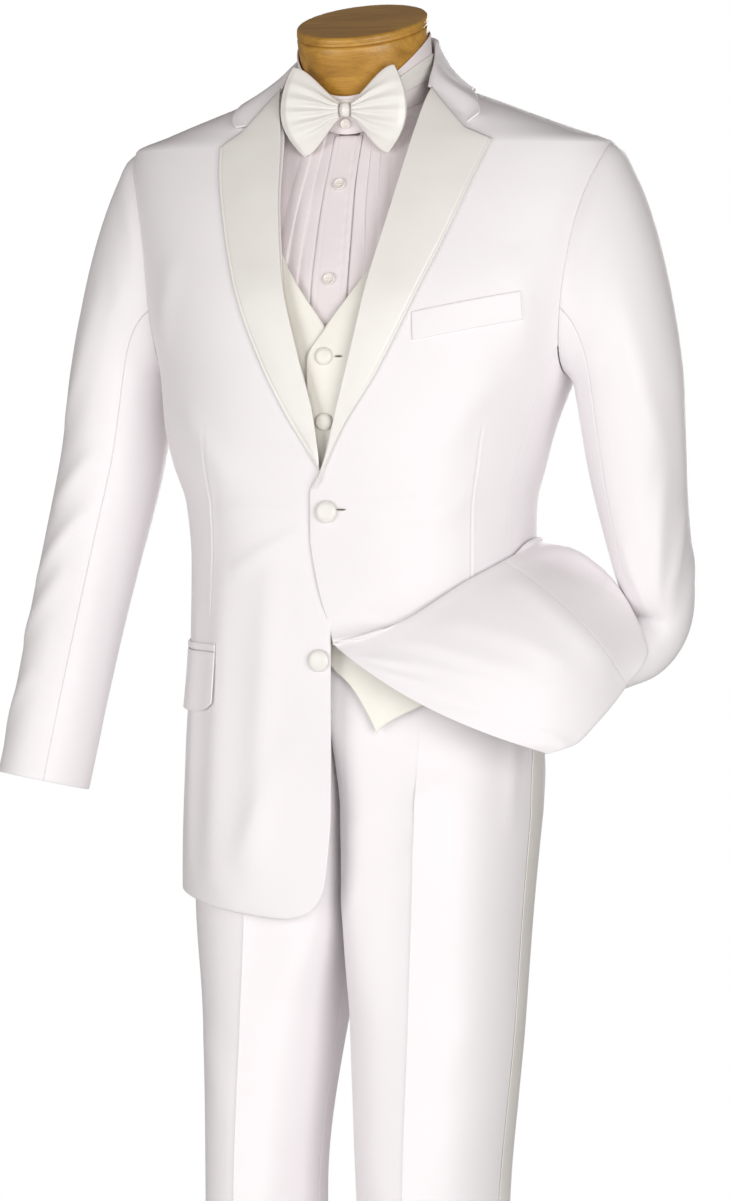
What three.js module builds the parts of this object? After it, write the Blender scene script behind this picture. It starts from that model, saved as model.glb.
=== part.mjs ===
// A white two-button dinner suit on a limbless dress form: jacket with satin lapels, ivory waistcoat,
// pleated shirt, bow tie and trousers with satin side stripes. The left forearm is tucked under the skirt of
// the jacket. Units are millimetres, +Z is up, the suit faces -Y, and +X is the wearer's left. The origin is
// on the floor, at the middle of the stand's base.
import * as THREE from "three";

// Driving dimensions
const JACKET_WALL = 2;
const TROUSER_WALL = 1.6;
const WAISTCOAT_WALL = 1.8;
const SHIRT_WALL = 1.2;
const SATIN_WALL = 1.4;
const BODY_POWER = 2.3; // the squareness of the sections of the body, 2 being an ellipse
const SEAM_TURN = 0.09; // degrees that each panel stops short of its seam, about 0.15 mm of the edge
const BASE_RADIUS = 205;
const BASE_HEIGHT = 14;
const POLE_RADIUS = 12.5;
const POLE_PLACE = { x: -80, y: -20 };
const FORM_BOTTOM = 912;
const FORM_TOP = 1468;
const NECK_TILT = 20; // degrees that the neck block's cap falls towards the front
const HEM_HEIGHT = 46; // the trouser hems, above the floor
const CROTCH_HEIGHT = 815;
const SEAT_HEIGHT = 905; // where the two legs have become one seat
const SHOULDER_HEIGHT = 1438;
const NECKLINE_HEIGHT = 1500;
const ARMHOLE = { middle: 1331, halfHeight: 107, halfTurn: 27 };
const UNDERARM_JOIN = 1251; // where the underarm panel's seams meet the armhole

// Half widths to the wearer's right and left, and depths in front of and behind the arm line, at each height
const JACKET_SECTIONS = [
  { z: 700, right: 181, left: 160, front: 139, back: 126 },
  { z: 760, right: 181, left: 163, front: 139, back: 130 },
  { z: 870, right: 178, left: 174, front: 137, back: 134 },
  { z: 960, right: 173, left: 168, front: 137, back: 124 },
  { z: 1050, right: 172, left: 159, front: 133, back: 114 },
  { z: 1101, right: 177, left: 160, front: 133, back: 115 },
  { z: 1142, right: 192, left: 169, front: 134, back: 120 },
  { z: 1175, right: 200, left: 178, front: 135, back: 125 },
  { z: 1225, right: 205, left: 198, front: 133, back: 130 },
  { z: 1290, right: 222, left: 224, front: 127, back: 132 },
  { z: 1340, right: 231, left: 235, front: 116, back: 128 },
  { z: 1390, right: 237, left: 239, front: 101, back: 118 },
  { z: 1420, right: 239, left: 240, front: 88, back: 108 },
  { z: 1438, right: 237, left: 237, front: 79, back: 100 },
  { z: 1452, right: 202, left: 202, front: 72, back: 92 },
  { z: 1478, right: 131, left: 131, front: 60, back: 78 },
  { z: 1491, right: 97, left: 97, front: 54, back: 69 },
  { z: 1500, right: 79, left: 79, front: 50, back: 63 },
];
const FORM_SECTIONS = [
  { z: 890, right: 146, left: 146, front: 98, back: 101 },
  { z: 960, right: 142, left: 142, front: 98, back: 95 },
  { z: 1050, right: 134, left: 134, front: 98, back: 89 },
  { z: 1110, right: 139, left: 139, front: 105, back: 92 },
  { z: 1170, right: 154, left: 154, front: 113, back: 103 },
  { z: 1225, right: 170, left: 170, front: 115, back: 110 },
  { z: 1290, right: 189, left: 189, front: 110, back: 112 },
  { z: 1340, right: 200, left: 200, front: 98, back: 108 },
  { z: 1390, right: 206, left: 206, front: 82, back: 99 },
  { z: 1418, right: 206, left: 206, front: 69, back: 89 },
  { z: 1436, right: 186, left: 186, front: 60, back: 80 },
  { z: 1453, right: 134, left: 134, front: 52, back: 66 },
  { z: 1463, right: 98, left: 98, front: 49, back: 56 },
  { z: 1470, right: 74, left: 74, front: 48, back: 50 },
];

// How far across the chest each jacket front reaches: its edge below the lapel, the lapel's fold above
const RIGHT_FRONT_EDGE = [
  { z: 710, x: -50 },
  { z: 720, x: -36 },
  { z: 725, x: -17 },
  { z: 734, x: -5 },
  { z: 748, x: 2 },
  { z: 775, x: 6 },
  { z: 820, x: 9 },
  { z: 980, x: 9 },
  { z: 1060, x: 13 },
  { z: 1105, x: 12 },
  { z: 1137, x: -3 },
  { z: 1170, x: -6 },
  { z: 1222, x: -18 },
  { z: 1261, x: -32 },
  { z: 1304, x: -42 },
  { z: 1333, x: -46 },
  { z: 1382, x: -53 },
  { z: 1441, x: -59 },
  { z: 1465, x: -65 },
  { z: 1490, x: -73 },
  { z: 1500, x: -75 },
];
const LEFT_FRONT_EDGE = [
  { z: 940, x: 24 },
  { z: 979, x: 12 },
  { z: 1017, x: -1 },
  { z: 1047, x: -8 },
  { z: 1075, x: -12 },
  { z: 1114, x: -12 },
  { z: 1137, x: -1 },
  { z: 1179, x: 13 },
  { z: 1216, x: 24 },
  { z: 1262, x: 34 },
  { z: 1309, x: 43 },
  { z: 1334, x: 50 },
  { z: 1381, x: 60 },
  { z: 1420, x: 66 },
  { z: 1440, x: 69 },
  { z: 1470, x: 74 },
  { z: 1490, x: 77 },
  { z: 1500, x: 77 },
];

// The swept left skirt, from its front edge (u 0) round the ridge over the forearm to the open vent (u 1).
// Each row runs from the waist fold to the hem through a middle point.
const SIDE_SEAM_U = 0.6;
const SWEPT_SKIRT = [
  { u: 0, x0: 14, y0: -138.5, z0: 976, x1: 110, y1: -150, z1: 921, x2: 213, y2: -122, z2: 874 },
  { u: 0.24, x0: 78, y0: -131, z0: 999, x1: 166, y1: -138, z1: 944, x2: 236, y2: -103, z2: 879 },
  { u: 0.43, x0: 126, y0: -100, z0: 1033, x1: 204, y1: -113, z1: 977, x2: 256, y2: -82, z2: 903 },
  { u: 0.6, x0: 154, y0: -64, z0: 1052, x1: 228, y1: -78, z1: 1004, x2: 272, y2: -52, z2: 936 },
  { u: 0.72, x0: 168, y0: -2, z0: 1066, x1: 233, y1: -8, z1: 1039, x2: 282, y2: -27, z2: 969 },
  { u: 0.8, x0: 166, y0: 20, z0: 1068, x1: 196, y1: 26, z1: 1056, x2: 222, y2: 24, z2: 1030 },
  { u: 0.88, x0: 160, y0: 38, z0: 1068, x1: 180, y1: 58, z1: 1020, x2: 200, y2: 76, z2: 966 },
  { u: 1, x0: 152.4, y0: 41.5, z0: 1067, x1: 161, y1: 58, z1: 985, x2: 178, y2: 90, z2: 900 },
];
// How deep the waist fold is tucked behind its edge, and how far the edge stands out from the body
const WAIST_FOLD = [
  { u: 0, tuck: -6, out: 4 },
  { u: 0.1, tuck: -3, out: 5 },
  { u: 0.24, tuck: 7, out: 7 },
  { u: 0.43, tuck: 17, out: 7 },
  { u: 0.72, tuck: 18, out: 8 },
  { u: 0.88, tuck: 8, out: 6 },
  { u: 1, tuck: -4, out: 1 },
];

// The sleeves below the armpit: centre line, half width and half depth of each ring
const RIGHT_SLEEVE = [
  { s: 0, x: -255, y: 0, z: 1215, w: 51, d: 59 },
  { s: 1, x: -262, y: -8, z: 1150, w: 50, d: 56 },
  { s: 2, x: -279, y: -20, z: 1058, w: 47, d: 52 },
  { s: 3, x: -297, y: -35, z: 957, w: 45, d: 49 },
  { s: 4, x: -307, y: -45, z: 896, w: 44, d: 47 },
  { s: 5, x: -317, y: -55, z: 833, w: 44, d: 46 },
];
const LEFT_SLEEVE = [
  { s: 0, x: 254, y: 3, z: 1215, w: 50, d: 59 },
  { s: 1, x: 260, y: 10, z: 1142, w: 45, d: 55 },
  { s: 2, x: 267, y: 20, z: 1080, w: 39, d: 53 },
  { s: 3, x: 274, y: 30, z: 1030, w: 34, d: 49 },
  { s: 3.6, x: 279, y: 32, z: 996, w: 30, d: 36 },
  { s: 4, x: 271, y: 22, z: 975, w: 30, d: 30 },
  { s: 4.5, x: 246, y: -3, z: 960, w: 28, d: 28 },
  { s: 5, x: 212, y: -42, z: 946, w: 27, d: 28 },
];
// The seams between the top and the under sleeve, in degrees from the sleeve's outer side
const SLEEVE_SEAM = 115.33;

// Trousers: the seat above the crotch, and each leg's rings below it
const SEAT_SECTIONS = [
  { z: 800, right: 164, left: 166, front: 117, back: 118 },
  { z: 869, right: 163, left: 168, front: 117, back: 118 },
  { z: 930, right: 157, left: 161, front: 113, back: 113 },
  { z: 1000, right: 148, left: 149, front: 110, back: 102 },
  { z: 1072, right: 145, left: 145, front: 110, back: 100 },
];
// inner and outer are the squareness of a leg's section towards the other leg and away from it
const LEFT_LEG = [
  { z: 40, x: 78, y: -22, w: 60, d: 80, inner: 2.1, outer: 2.1 },
  { z: 240, x: 77, y: -32, w: 63, d: 83, inner: 2.1, outer: 2.1 },
  { z: 445, x: 77, y: -38, w: 69, d: 86, inner: 2.2, outer: 2.1 },
  { z: 620, x: 80.5, y: -28, w: 78, d: 91, inner: 3, outer: 2.1 },
  { z: 723, x: 82.5, y: -18, w: 80.5, d: 97, inner: 6, outer: 2.1 },
  { z: 815, x: 84.5, y: -6, w: 83, d: 106, inner: 9, outer: 2.1 },
];
const RIGHT_LEG = [
  { z: 40, x: -90, y: -22, w: 53, d: 78, inner: 2.1, outer: 2.1 },
  { z: 240, x: -91, y: -32, w: 53, d: 80, inner: 2.1, outer: 2.1 },
  { z: 445, x: -92, y: -38, w: 53, d: 82, inner: 2.2, outer: 2.1 },
  { z: 620, x: -86, y: -28, w: 65, d: 90, inner: 2.6, outer: 2.1 },
  { z: 723, x: -83, y: -18, w: 79, d: 97, inner: 6, outer: 2.1 },
  { z: 815, x: -84, y: -6, w: 82.5, d: 106, inner: 9, outer: 2.1 },
];
const CREASE = { height: 6, half: 14 }; // the pressed creases stand out, and their half width

// The pieces' plain materials
const material = (color, roughness) => new THREE.MeshStandardMaterial({ color, roughness, metalness: 0 });
const WHITE_CLOTH = material(0xf4f1f4, 0.8);
const WHITE_SATIN = material(0xf3f1e9, 0.38);
const IVORY_SATIN = material(0xefebd9, 0.42);
const SHIRT_CLOTH = material(0xece3e7, 0.85);
const PEARL = material(0xe9e2dc, 0.25);
const WOOD = material(0xc8913f, 0.5);
const FORM_CLOTH = material(0xd8cfc0, 0.9);
const STEEL = material(0x9a9a9a, 0.35);
STEEL.metalness = 0.9;

const suit = new THREE.Group();
const DEGREE = Math.PI / 180;
const mix = (a, b, share) => a + (b - a) * share;
const limit = (x, low, high) => Math.min(high, Math.max(low, x));
const ease = (low, high, x) => {
  const s = limit((x - low) / (high - low), 0, 1);
  return s * s * (3 - 2 * s);
};
const steps = (count) => Array.from({ length: count + 1 }, (_, i) => i / count);
const spaced = (low, high, count) => steps(count).map((s) => mix(low, high, s));
const point = (x, y, z) => new THREE.Vector3(x, y, z);

// Reads a table's named column at any value of its key column, by monotone cubic curves between the rows.
function reader(table, key) {
  const keys = table.map((row) => row[key]);
  const slopes = {};
  const slopesOf = (name) => {
    const rise = table.slice(1).map((row, i) => (row[name] - table[i][name]) / (keys[i + 1] - keys[i]));
    return table.map((_, i) => {
      if (i === 0) return rise[0];
      if (i === rise.length) return rise[i - 1];
      const product = rise[i - 1] * rise[i];
      return product <= 0 ? 0 : (2 * product) / (rise[i - 1] + rise[i]);
    });
  };
  return (at, name) => {
    slopes[name] ??= slopesOf(name);
    const k = limit(at, keys[0], keys.at(-1));
    let i = 0;
    while (i < keys.length - 2 && k > keys[i + 1]) i++;
    const span = keys[i + 1] - keys[i];
    const s = (k - keys[i]) / span;
    const [a, b] = [table[i][name], table[i + 1][name]];
    const [m, n] = [slopes[name][i] * span, slopes[name][i + 1] * span];
    return a * (2 * s ** 3 - 3 * s ** 2 + 1) + m * (s ** 3 - 2 * s ** 2 + s)
      + b * (3 * s ** 2 - 2 * s ** 3) + n * (s ** 3 - s ** 2);
  };
}

// A body surface from a table of sections. surface(t, z, out) is the point at turn t (degrees from the front
// centre towards the wearer's left) and height z, moved out along the surface's normal.
function bodySurface(sections) {
  const read = reader(sections, "z");
  const [lowest, highest] = [sections[0].z, sections.at(-1).z];
  const power = 2 / BODY_POWER;
  const onSection = (t, z) => {
    const [sin, cos] = [Math.sin(t * DEGREE), Math.cos(t * DEGREE)];
    const across = (sin < 0 ? -read(z, "right") : read(z, "left")) * Math.abs(sin) ** power;
    const along = (cos > 0 ? -read(z, "front") : read(z, "back")) * Math.abs(cos) ** power;
    return point(across, along, z);
  };
  const surface = (t, z, out = 0) => {
    const place = onSection(t, z);
    if (out === 0) return place;
    const turn = onSection(t + 0.4, z).sub(onSection(t - 0.4, z));
    const rise = onSection(t, Math.min(z + 1, highest)).sub(onSection(t, Math.max(z - 1, lowest)));
    return place.addScaledVector(turn.cross(rise).normalize(), out);
  };
  // The turn at which the section at height z is x across.
  surface.turnAt = (x, z) => {
    const half = read(z, x < 0 ? "right" : "left");
    return (Math.sign(x) * Math.asin(Math.min(1, Math.abs(x) / half) ** (BODY_POWER / 2))) / DEGREE;
  };
  return surface;
}

// Stores a grid of points as one face of a wall, and its copy `thick` behind along the normals as the other.
// rims holds each row's direction across at its first and last point.
function wallGeometry(grid, thick, closed, rims) {
  const [rows, columns] = [grid.length, grid[0].length];
  const wrap = (i) => (closed ? (i + columns) % columns : limit(i, 0, columns - 1));
  const back = grid.map((row, j) => row.map((p, i) => {
    const rim = !closed && (i === 0 || i === columns - 1);
    const across = rim ? rims[j][i === 0 ? 0 : 1].clone() : row[wrap(i + 1)].clone().sub(row[wrap(i - 1)]);
    const along = grid[Math.min(j + 1, rows - 1)][i].clone().sub(grid[Math.max(j - 1, 0)][i]);
    return p.clone().addScaledVector(across.cross(along).normalize(), -thick);
  }));
  const places = [...grid.flat(), ...back.flat()].flatMap((p) => [p.x, p.y, p.z]);
  const [front, rear] = [(j, i) => j * columns + i, (j, i) => (rows + j) * columns + i];
  const index = [];
  const quad = (a, b, c, d) => index.push(a, b, c, a, c, d);
  const spans = closed ? columns : columns - 1;
  for (let j = 0; j < rows - 1; j++)
    for (let i = 0; i < spans; i++) {
      const next = wrap(i + 1);
      quad(front(j, i), front(j, next), front(j + 1, next), front(j + 1, i));
      quad(rear(j, i), rear(j + 1, i), rear(j + 1, next), rear(j, next));
    }
  for (let i = 0; i < spans; i++) {
    const next = wrap(i + 1);
    quad(front(0, i), rear(0, i), rear(0, next), front(0, next));
    quad(front(rows - 1, i), front(rows - 1, next), rear(rows - 1, next), rear(rows - 1, i));
  }
  if (!closed)
    for (let j = 0; j < rows - 1; j++) {
      quad(front(j, 0), front(j + 1, 0), rear(j + 1, 0), rear(j, 0));
      quad(front(j, columns - 1), rear(j, columns - 1), rear(j + 1, columns - 1), front(j + 1, columns - 1));
    }
  return indexed(places, index);
}

function indexed(places, index) {
  const geometry = new THREE.BufferGeometry();
  geometry.setAttribute("position", new THREE.Float32BufferAttribute(places, 3));
  geometry.setIndex(index);
  return geometry;
}

function add(name, finish, geometry) {
  const mesh = new THREE.Mesh(geometry, finish);
  mesh.name = name;
  suit.add(mesh);
  return mesh;
}

// A wall of cloth: its outer face goes through pointAt(u, v) for each listed u and v.
function cloth(name, finish, thick, us, vs, pointAt, closed = false) {
  const grid = vs.map((v) => us.map((u) => pointAt(u, v)));
  const step = (us.at(-1) - us[0]) / 500;
  const rims = vs.map((v) => [us[0], us.at(-1)].map((u) => pointAt(u + step, v).sub(pointAt(u - step, v))));
  return add(name, finish, wallGeometry(grid, thick, closed, rims));
}

// A solid through closed rings of points, with a fan over each end.
function loft(name, finish, rings) {
  const count = rings[0].length;
  const places = rings.flat().flatMap((p) => [p.x, p.y, p.z]);
  const index = [];
  for (let j = 0; j < rings.length - 1; j++)
    for (let i = 0; i < count; i++) {
      const [a, b] = [j * count + i, j * count + ((i + 1) % count)];
      index.push(a, b, b + count, a, b + count, a + count);
    }
  const ends = [[rings[0], 0, true], [rings.at(-1), (rings.length - 1) * count, false]];
  for (const [ring, first, low] of ends) {
    const middle = ring.reduce((sum, p) => sum.add(p), point(0, 0, 0)).divideScalar(count);
    const centre = places.length / 3;
    places.push(middle.x, middle.y, middle.z);
    for (let i = 0; i < count; i++) {
      const [a, b] = [first + i, first + ((i + 1) % count)];
      index.push(centre, low ? b : a, low ? a : b);
    }
  }
  return add(name, finish, indexed(places, index));
}

// A covered button: a low dome on a flat back, standing on a surface point and facing along its normal.
function button(name, finish, radius, height, surface, t, z, out) {
  const profile = [[0, 0], [0.9, 0], [1, 0.35], [0.8, 0.85], [0, 1]];
  const outline = profile.map(([r, h]) => new THREE.Vector2(r * radius, h * height));
  const mesh = add(name, finish, new THREE.LatheGeometry(outline, 10));
  const foot = surface(t, z, out);
  const facing = surface(t, z, out + 1).sub(foot).normalize();
  mesh.quaternion.setFromUnitVectors(point(0, 1, 0), facing);
  mesh.position.copy(foot);
}

const jacket = bodySurface(JACKET_SECTIONS);
const form = bodySurface(FORM_SECTIONS);
const seat = bodySurface(SEAT_SECTIONS);
const rightFrontEdge = reader(RIGHT_FRONT_EDGE, "z");
const leftFrontEdge = reader(LEFT_FRONT_EDGE, "z");

// The turn, away from the front centre, at which a jacket panel ends at height z: its underarm seam, the
// armhole above that, and the shoulder seam at the top. sign is -1 for fronts and 1 for backs.
function outerTurn(z, sign) {
  if (z >= SHOULDER_HEIGHT) return 90 + sign * SEAM_TURN;
  if (z > UNDERARM_JOIN) {
    const rise = (z - ARMHOLE.middle) / ARMHOLE.halfHeight;
    return 90 + sign * (SEAM_TURN + ARMHOLE.halfTurn * Math.sqrt(Math.max(0, 1 - rise ** 2)));
  }
  const join = (UNDERARM_JOIN - ARMHOLE.middle) / ARMHOLE.halfHeight;
  const atJoin = ARMHOLE.halfTurn * Math.sqrt(1 - join ** 2);
  return 90 + sign * (SEAM_TURN + mix(atJoin + 4, atJoin, ease(700, UNDERARM_JOIN, z)));
}
// The sleeve's columns, in degrees from its outer side: six down to the underarm seams and two more across
// the underarm panel. The panels' rows meet the armhole at the same places.
const UNDERARM_TURN = 90 - Math.asin((UNDERARM_JOIN - ARMHOLE.middle) / ARMHOLE.halfHeight) / DEGREE;
const armholeTurns = spaced(0, UNDERARM_TURN, 6);
const armholeHeight = (turn) => ARMHOLE.middle + ARMHOLE.halfHeight * Math.cos(turn * DEGREE);
const armholeRows = armholeTurns.map(armholeHeight).reverse();
const shoulderRows = [1449, 1462, 1476, 1489, NECKLINE_HEIGHT];

// The form: torso, neck block with a tilted cap, socket, pole and base
const NECK_CAP = { y: -24, z: 1556, w: 62, d: 58, thick: 9 };
function buildForm() {
  const turns = spaced(-180, 165, 23);
  const heights = [FORM_BOTTOM, 1030, 1110, 1200, 1290, 1350, 1400, 1425, 1445, 1458, FORM_TOP - 2];
  // Behind, the torso carries the shirt; in front it stays clear of it
  const out = (t) => mix(-4, 2, ease(88, 108, Math.abs(t)));
  loft("form_torso", FORM_CLOTH, heights.map((z) => turns.map((t) => form(t, z, out(t)))));
  const tilt = Math.tan(NECK_TILT * DEGREE);
  const around = steps(26).slice(0, 26).map((s) => s * 2 * Math.PI);
  const ring = (share, lift, inset) => around.map((turn) => {
    const [x, y] = [(NECK_CAP.w - inset) * Math.sin(turn), -(NECK_CAP.d - inset) * Math.cos(turn)];
    return point(x, y + mix(-5, NECK_CAP.y, share), mix(FORM_TOP + 0.3, NECK_CAP.z + y * tilt + lift, share));
  });
  const under = -NECK_CAP.thick - 0.5;
  loft("form_neck_block", WOOD, [ring(0, under, 6), ring(0.5, under, 2.5), ring(1, under, 0)]);
  loft("form_neck_cap", WOOD, [ring(1, -9, 1), ring(1, -8, 0), ring(1, -1.5, 0), ring(1, 0, 2)]);
  const round = (name, finish, radius, low, high) => {
    const mesh = add(name, finish, new THREE.CylinderGeometry(radius, radius, high - low, 24));
    mesh.rotation.x = Math.PI / 2;
    mesh.position.set(POLE_PLACE.x, POLE_PLACE.y, (low + high) / 2);
  };
  round("form_socket", STEEL, POLE_RADIUS + 14, FORM_BOTTOM - 16, FORM_BOTTOM - 0.3);
  round("form_pole", STEEL, POLE_RADIUS, BASE_HEIGHT + 0.3, FORM_BOTTOM - 16.3);
  const dome = [[BASE_RADIUS - 2, 0], [BASE_RADIUS, 3], [BASE_RADIUS - 5, 9], [150, BASE_HEIGHT]];
  const outline = [[0, 0], ...dome, [0, BASE_HEIGHT]].map(([r, h]) => new THREE.Vector2(r, h));
  const base = add("form_base", STEEL, new THREE.LatheGeometry(outline, 40));
  base.rotation.x = Math.PI / 2;
}

// Shirt: two fronts with sewn tucks, back, placket, collar band and buttons
const SHIRT_OUT = 4;
const SHIRT_BOTTOM = 960;
const PLACKET_HALF = 17;
const TUCK = { pitch: 13.5, count: 3, height: 2 };
const TUCKED_SHARE = 0.4; // the part of a front's columns that lies in its tucks
function shirtFront(name, side) {
  const heights = [SHIRT_BOTTOM, 1030, 1110, 1160, 1230, 1290, 1340, 1385, 1420, 1442, 1453, 1462];
  const tucks = [0, 0.121, 0.133, 0.254, 0.266, 0.388, TUCKED_SHARE];
  const columns = [...tucks, 0.5, 0.6, 0.7, 0.8, 0.9, 1];
  const us = side > 0 ? columns : columns.reverse();
  cloth(name, SHIRT_CLOTH, SHIRT_WALL, us, heights, (u, z) => {
    const narrow = ease(1300, 1466, z);
    const inTucks = limit(u / TUCKED_SHARE, -0.05, 1);
    const x = (PLACKET_HALF + 1 + inTucks * TUCK.pitch * TUCK.count) * mix(1, 0.72, narrow);
    const t = form.turnAt(x, z);
    const saw = inTucks * TUCK.count - Math.floor(inTucks * TUCK.count + 1e-6);
    const lift = u < TUCKED_SHARE ? TUCK.height * (1 - saw) * ease(1080, 1160, z) * (1 - 0.6 * narrow) : 0;
    const beyond = mix(t, 90 - SEAM_TURN * 2, (u - TUCKED_SHARE) / (1 - TUCKED_SHARE));
    return form(side * (u < TUCKED_SHARE ? t : beyond), z, SHIRT_OUT + lift);
  });
}
// The collar band stands round the neck block, low at the throat and high behind
function collarBand(turn, rise) {
  const front = (1 + Math.cos(turn * DEGREE)) / 2;
  const z = mix(mix(1480, 1447, front ** 5), mix(1550, 1482, front ** 2.4), rise);
  const lean = mix(-5, -19, (z - 1447) / 82);
  const round = 63 + rise;
  return point(round * Math.sin(turn * DEGREE), lean - (round - 2) * Math.cos(turn * DEGREE), z);
}
function buildShirt() {
  shirtFront("shirt_front_right", -1);
  shirtFront("shirt_front_left", 1);
  const heights = [SHIRT_BOTTOM, 1030, 1110, 1200, 1290, 1350, 1400, 1425, 1445, 1458, 1466];
  const backTurns = spaced(90.2, 269.8, 12);
  cloth("shirt_back", SHIRT_CLOTH, SHIRT_WALL, backTurns, heights, (t, z) => form(t, z, SHIRT_OUT));
  const placketRows = [SHIRT_BOTTOM, 1080, 1200, 1290, 1310, 1350, 1397, 1420, 1444];
  cloth("shirt_placket", SHIRT_CLOTH, SHIRT_WALL, [-1, 0, 1], placketRows, (u, z) => {
    const half = PLACKET_HALF * mix(1, 0.8, ease(1300, 1444, z));
    return form(form.turnAt(u * half, z), z, SHIRT_OUT + 2.4);
  });
  cloth("shirt_collar_band", SHIRT_CLOTH, 1.6, spaced(-178, 178, 28), [0, 0.5, 1], collarBand);
  const throat = (t, z, out) => collarBand(t, z).add(point(0, -out, 0));
  button("shirt_button_1", PEARL, 5, 2.4, throat, 0, 0.28, 1);
  button("shirt_button_2", PEARL, 6, 2.6, form, 0, 1397, SHIRT_OUT + 2.9);
  button("shirt_button_3", PEARL, 6, 2.6, form, 0, 1310, SHIRT_OUT + 2.9);
}

// Waistcoat: fronts that meet in a V and end in two points, a plain back, five buttons
const WAISTCOAT_EDGE = [
  { z: 893, x: 46 },
  { z: 913, x: 37 },
  { z: 938, x: 22 },
  { z: 951, x: 8 },
  { z: 975, x: -12 },
  { z: 1000, x: -16 },
  { z: 1236, x: -17 },
  { z: 1264, x: -1 },
  { z: 1331, x: 46 },
  { z: 1400, x: 72 },
  { z: 1452, x: 86 },
];
// How far the waistcoat stands off the form: over the shirt, and lower down over the trousers too
const waistcoatOut = (z) => 12.8 + 5.7 * (1 - ease(1040, 1110, z)) + 8 * (1 - ease(900, 1010, z));
function waistcoatFront(name, side, layer) {
  const edge = reader(WAISTCOAT_EDGE, "z");
  const edgeX = (z) => (side > 0 ? edge(z, "x") : -edge(z, "x"));
  const heights = [0, 0.08, 0.178, 0.286, 0.3945, 0.503, 0.611, 0.66, 0.72, 0.8, 0.88, 0.95, 1];
  const columns = side > 0 ? steps(8) : steps(8).reverse();
  cloth(name, IVORY_SATIN, WAISTCOAT_WALL, columns, heights, (u, v) => {
    const z = mix(893 + 69 * limit(u, 0, 1) ** 0.7, 1452, v);
    const armhole = mix(0, 30, ease(1190, 1400, z));
    const x = edgeX(z);
    const t = mix(side * form.turnAt(x, z), 89.8 - armhole, u);
    return form(side * t, z, waistcoatOut(z) + layer * (1 - ease(1240, 1320, z)) * (1 - ease(0.125, 0.3, u)));
  });
}
function buildWaistcoat() {
  waistcoatFront("waistcoat_front_right", -1, -3.2);
  waistcoatFront("waistcoat_front_left", 1, 0);
  const heights = [962, 1040, 1110, 1200, 1290, 1350, 1400, 1425, 1445, 1452];
  cloth("waistcoat_back", IVORY_SATIN, WAISTCOAT_WALL, steps(12), heights, (u, z) => {
    const armhole = mix(0, 30, ease(1190, 1400, z));
    return form(mix(90.2 + armhole, 269.8 - armhole, u), z, waistcoatOut(z) - ease(1100, 1200, z));
  });
  // The lower fronts lie in the waist's hollow, so their buttons stand a little further out
  const buttons = [
    { z: 1240, out: -0.1 },
    { z: 1181, out: -0.1 },
    { z: 1122, out: 0.6 },
    { z: 1063, out: 0.6 },
    { z: 1004, out: 0.6 },
  ];
  buttons.forEach(({ z, out }, i) => {
    button(`waistcoat_button_${i + 1}`, IVORY_SATIN, 8.3, 4, form, 0, z, waistcoatOut(z) + out);
  });
}

// Trousers: front and back panel of each leg, side stripes and waistband. The turn goes from the inseam (-90)
// through the front (0), the outseam (90) and the back (180) to the inseam again (270). Below the crotch a
// section is a closed leg; above it, half of the seat, whose inner columns rise along the centre seams.
function trouserPoint(side, turn, z, out = 0) {
  const read = side > 0 ? readLeftLeg : readRightLeg;
  const [sin, cos] = [Math.sin(turn * DEGREE), Math.cos(turn * DEGREE)];
  const acrossAt = (leg) => {
    const power = read(leg, sin < 0 ? "inner" : "outer");
    const scale = (Math.abs(sin) ** power + Math.abs(cos) ** power) ** (-1 / power);
    return { across: read(leg, "w") * sin * scale, along: read(leg, "d") * cos * scale };
  };
  const leg = Math.min(z, CROTCH_HEIGHT);
  const seatShare = ease(CROTCH_HEIGHT, SEAT_HEIGHT, z);
  const { across, along } = acrossAt(leg);
  const pressed = CREASE.height * Math.exp(-((across / CREASE.half) ** 2)) * (1 - 0.55 * seatShare);
  const legPoint = point(
    read(leg, "x") + side * (across + out * sin), read(leg, "y") - along - (pressed + out) * cos, z,
  );
  const turnOf = (x) => Math.abs(seat.turnAt(x, CROTCH_HEIGHT));
  const middle = turnOf(read(CROTCH_HEIGHT, "x"));
  const fromFront = Math.min(Math.abs(turn), Math.abs(180 - turn));
  const inner = turnOf(Math.max(Math.abs(read(CROTCH_HEIGHT, "x")) + acrossAt(CROTCH_HEIGHT).across, 0.5));
  const half = sin < 0 ? inner : mix(middle, 90, fromFront / 90);
  const seatPoint = seat(side * (cos > 0 ? half : 180 - half), z, out + pressed * 0.5);
  return legPoint.lerp(seatPoint, seatShare);
}
const readLeftLeg = reader(LEFT_LEG, "z");
const readRightLeg = reader(RIGHT_LEG, "z");
const TROUSER_TOP = 1032;
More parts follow.
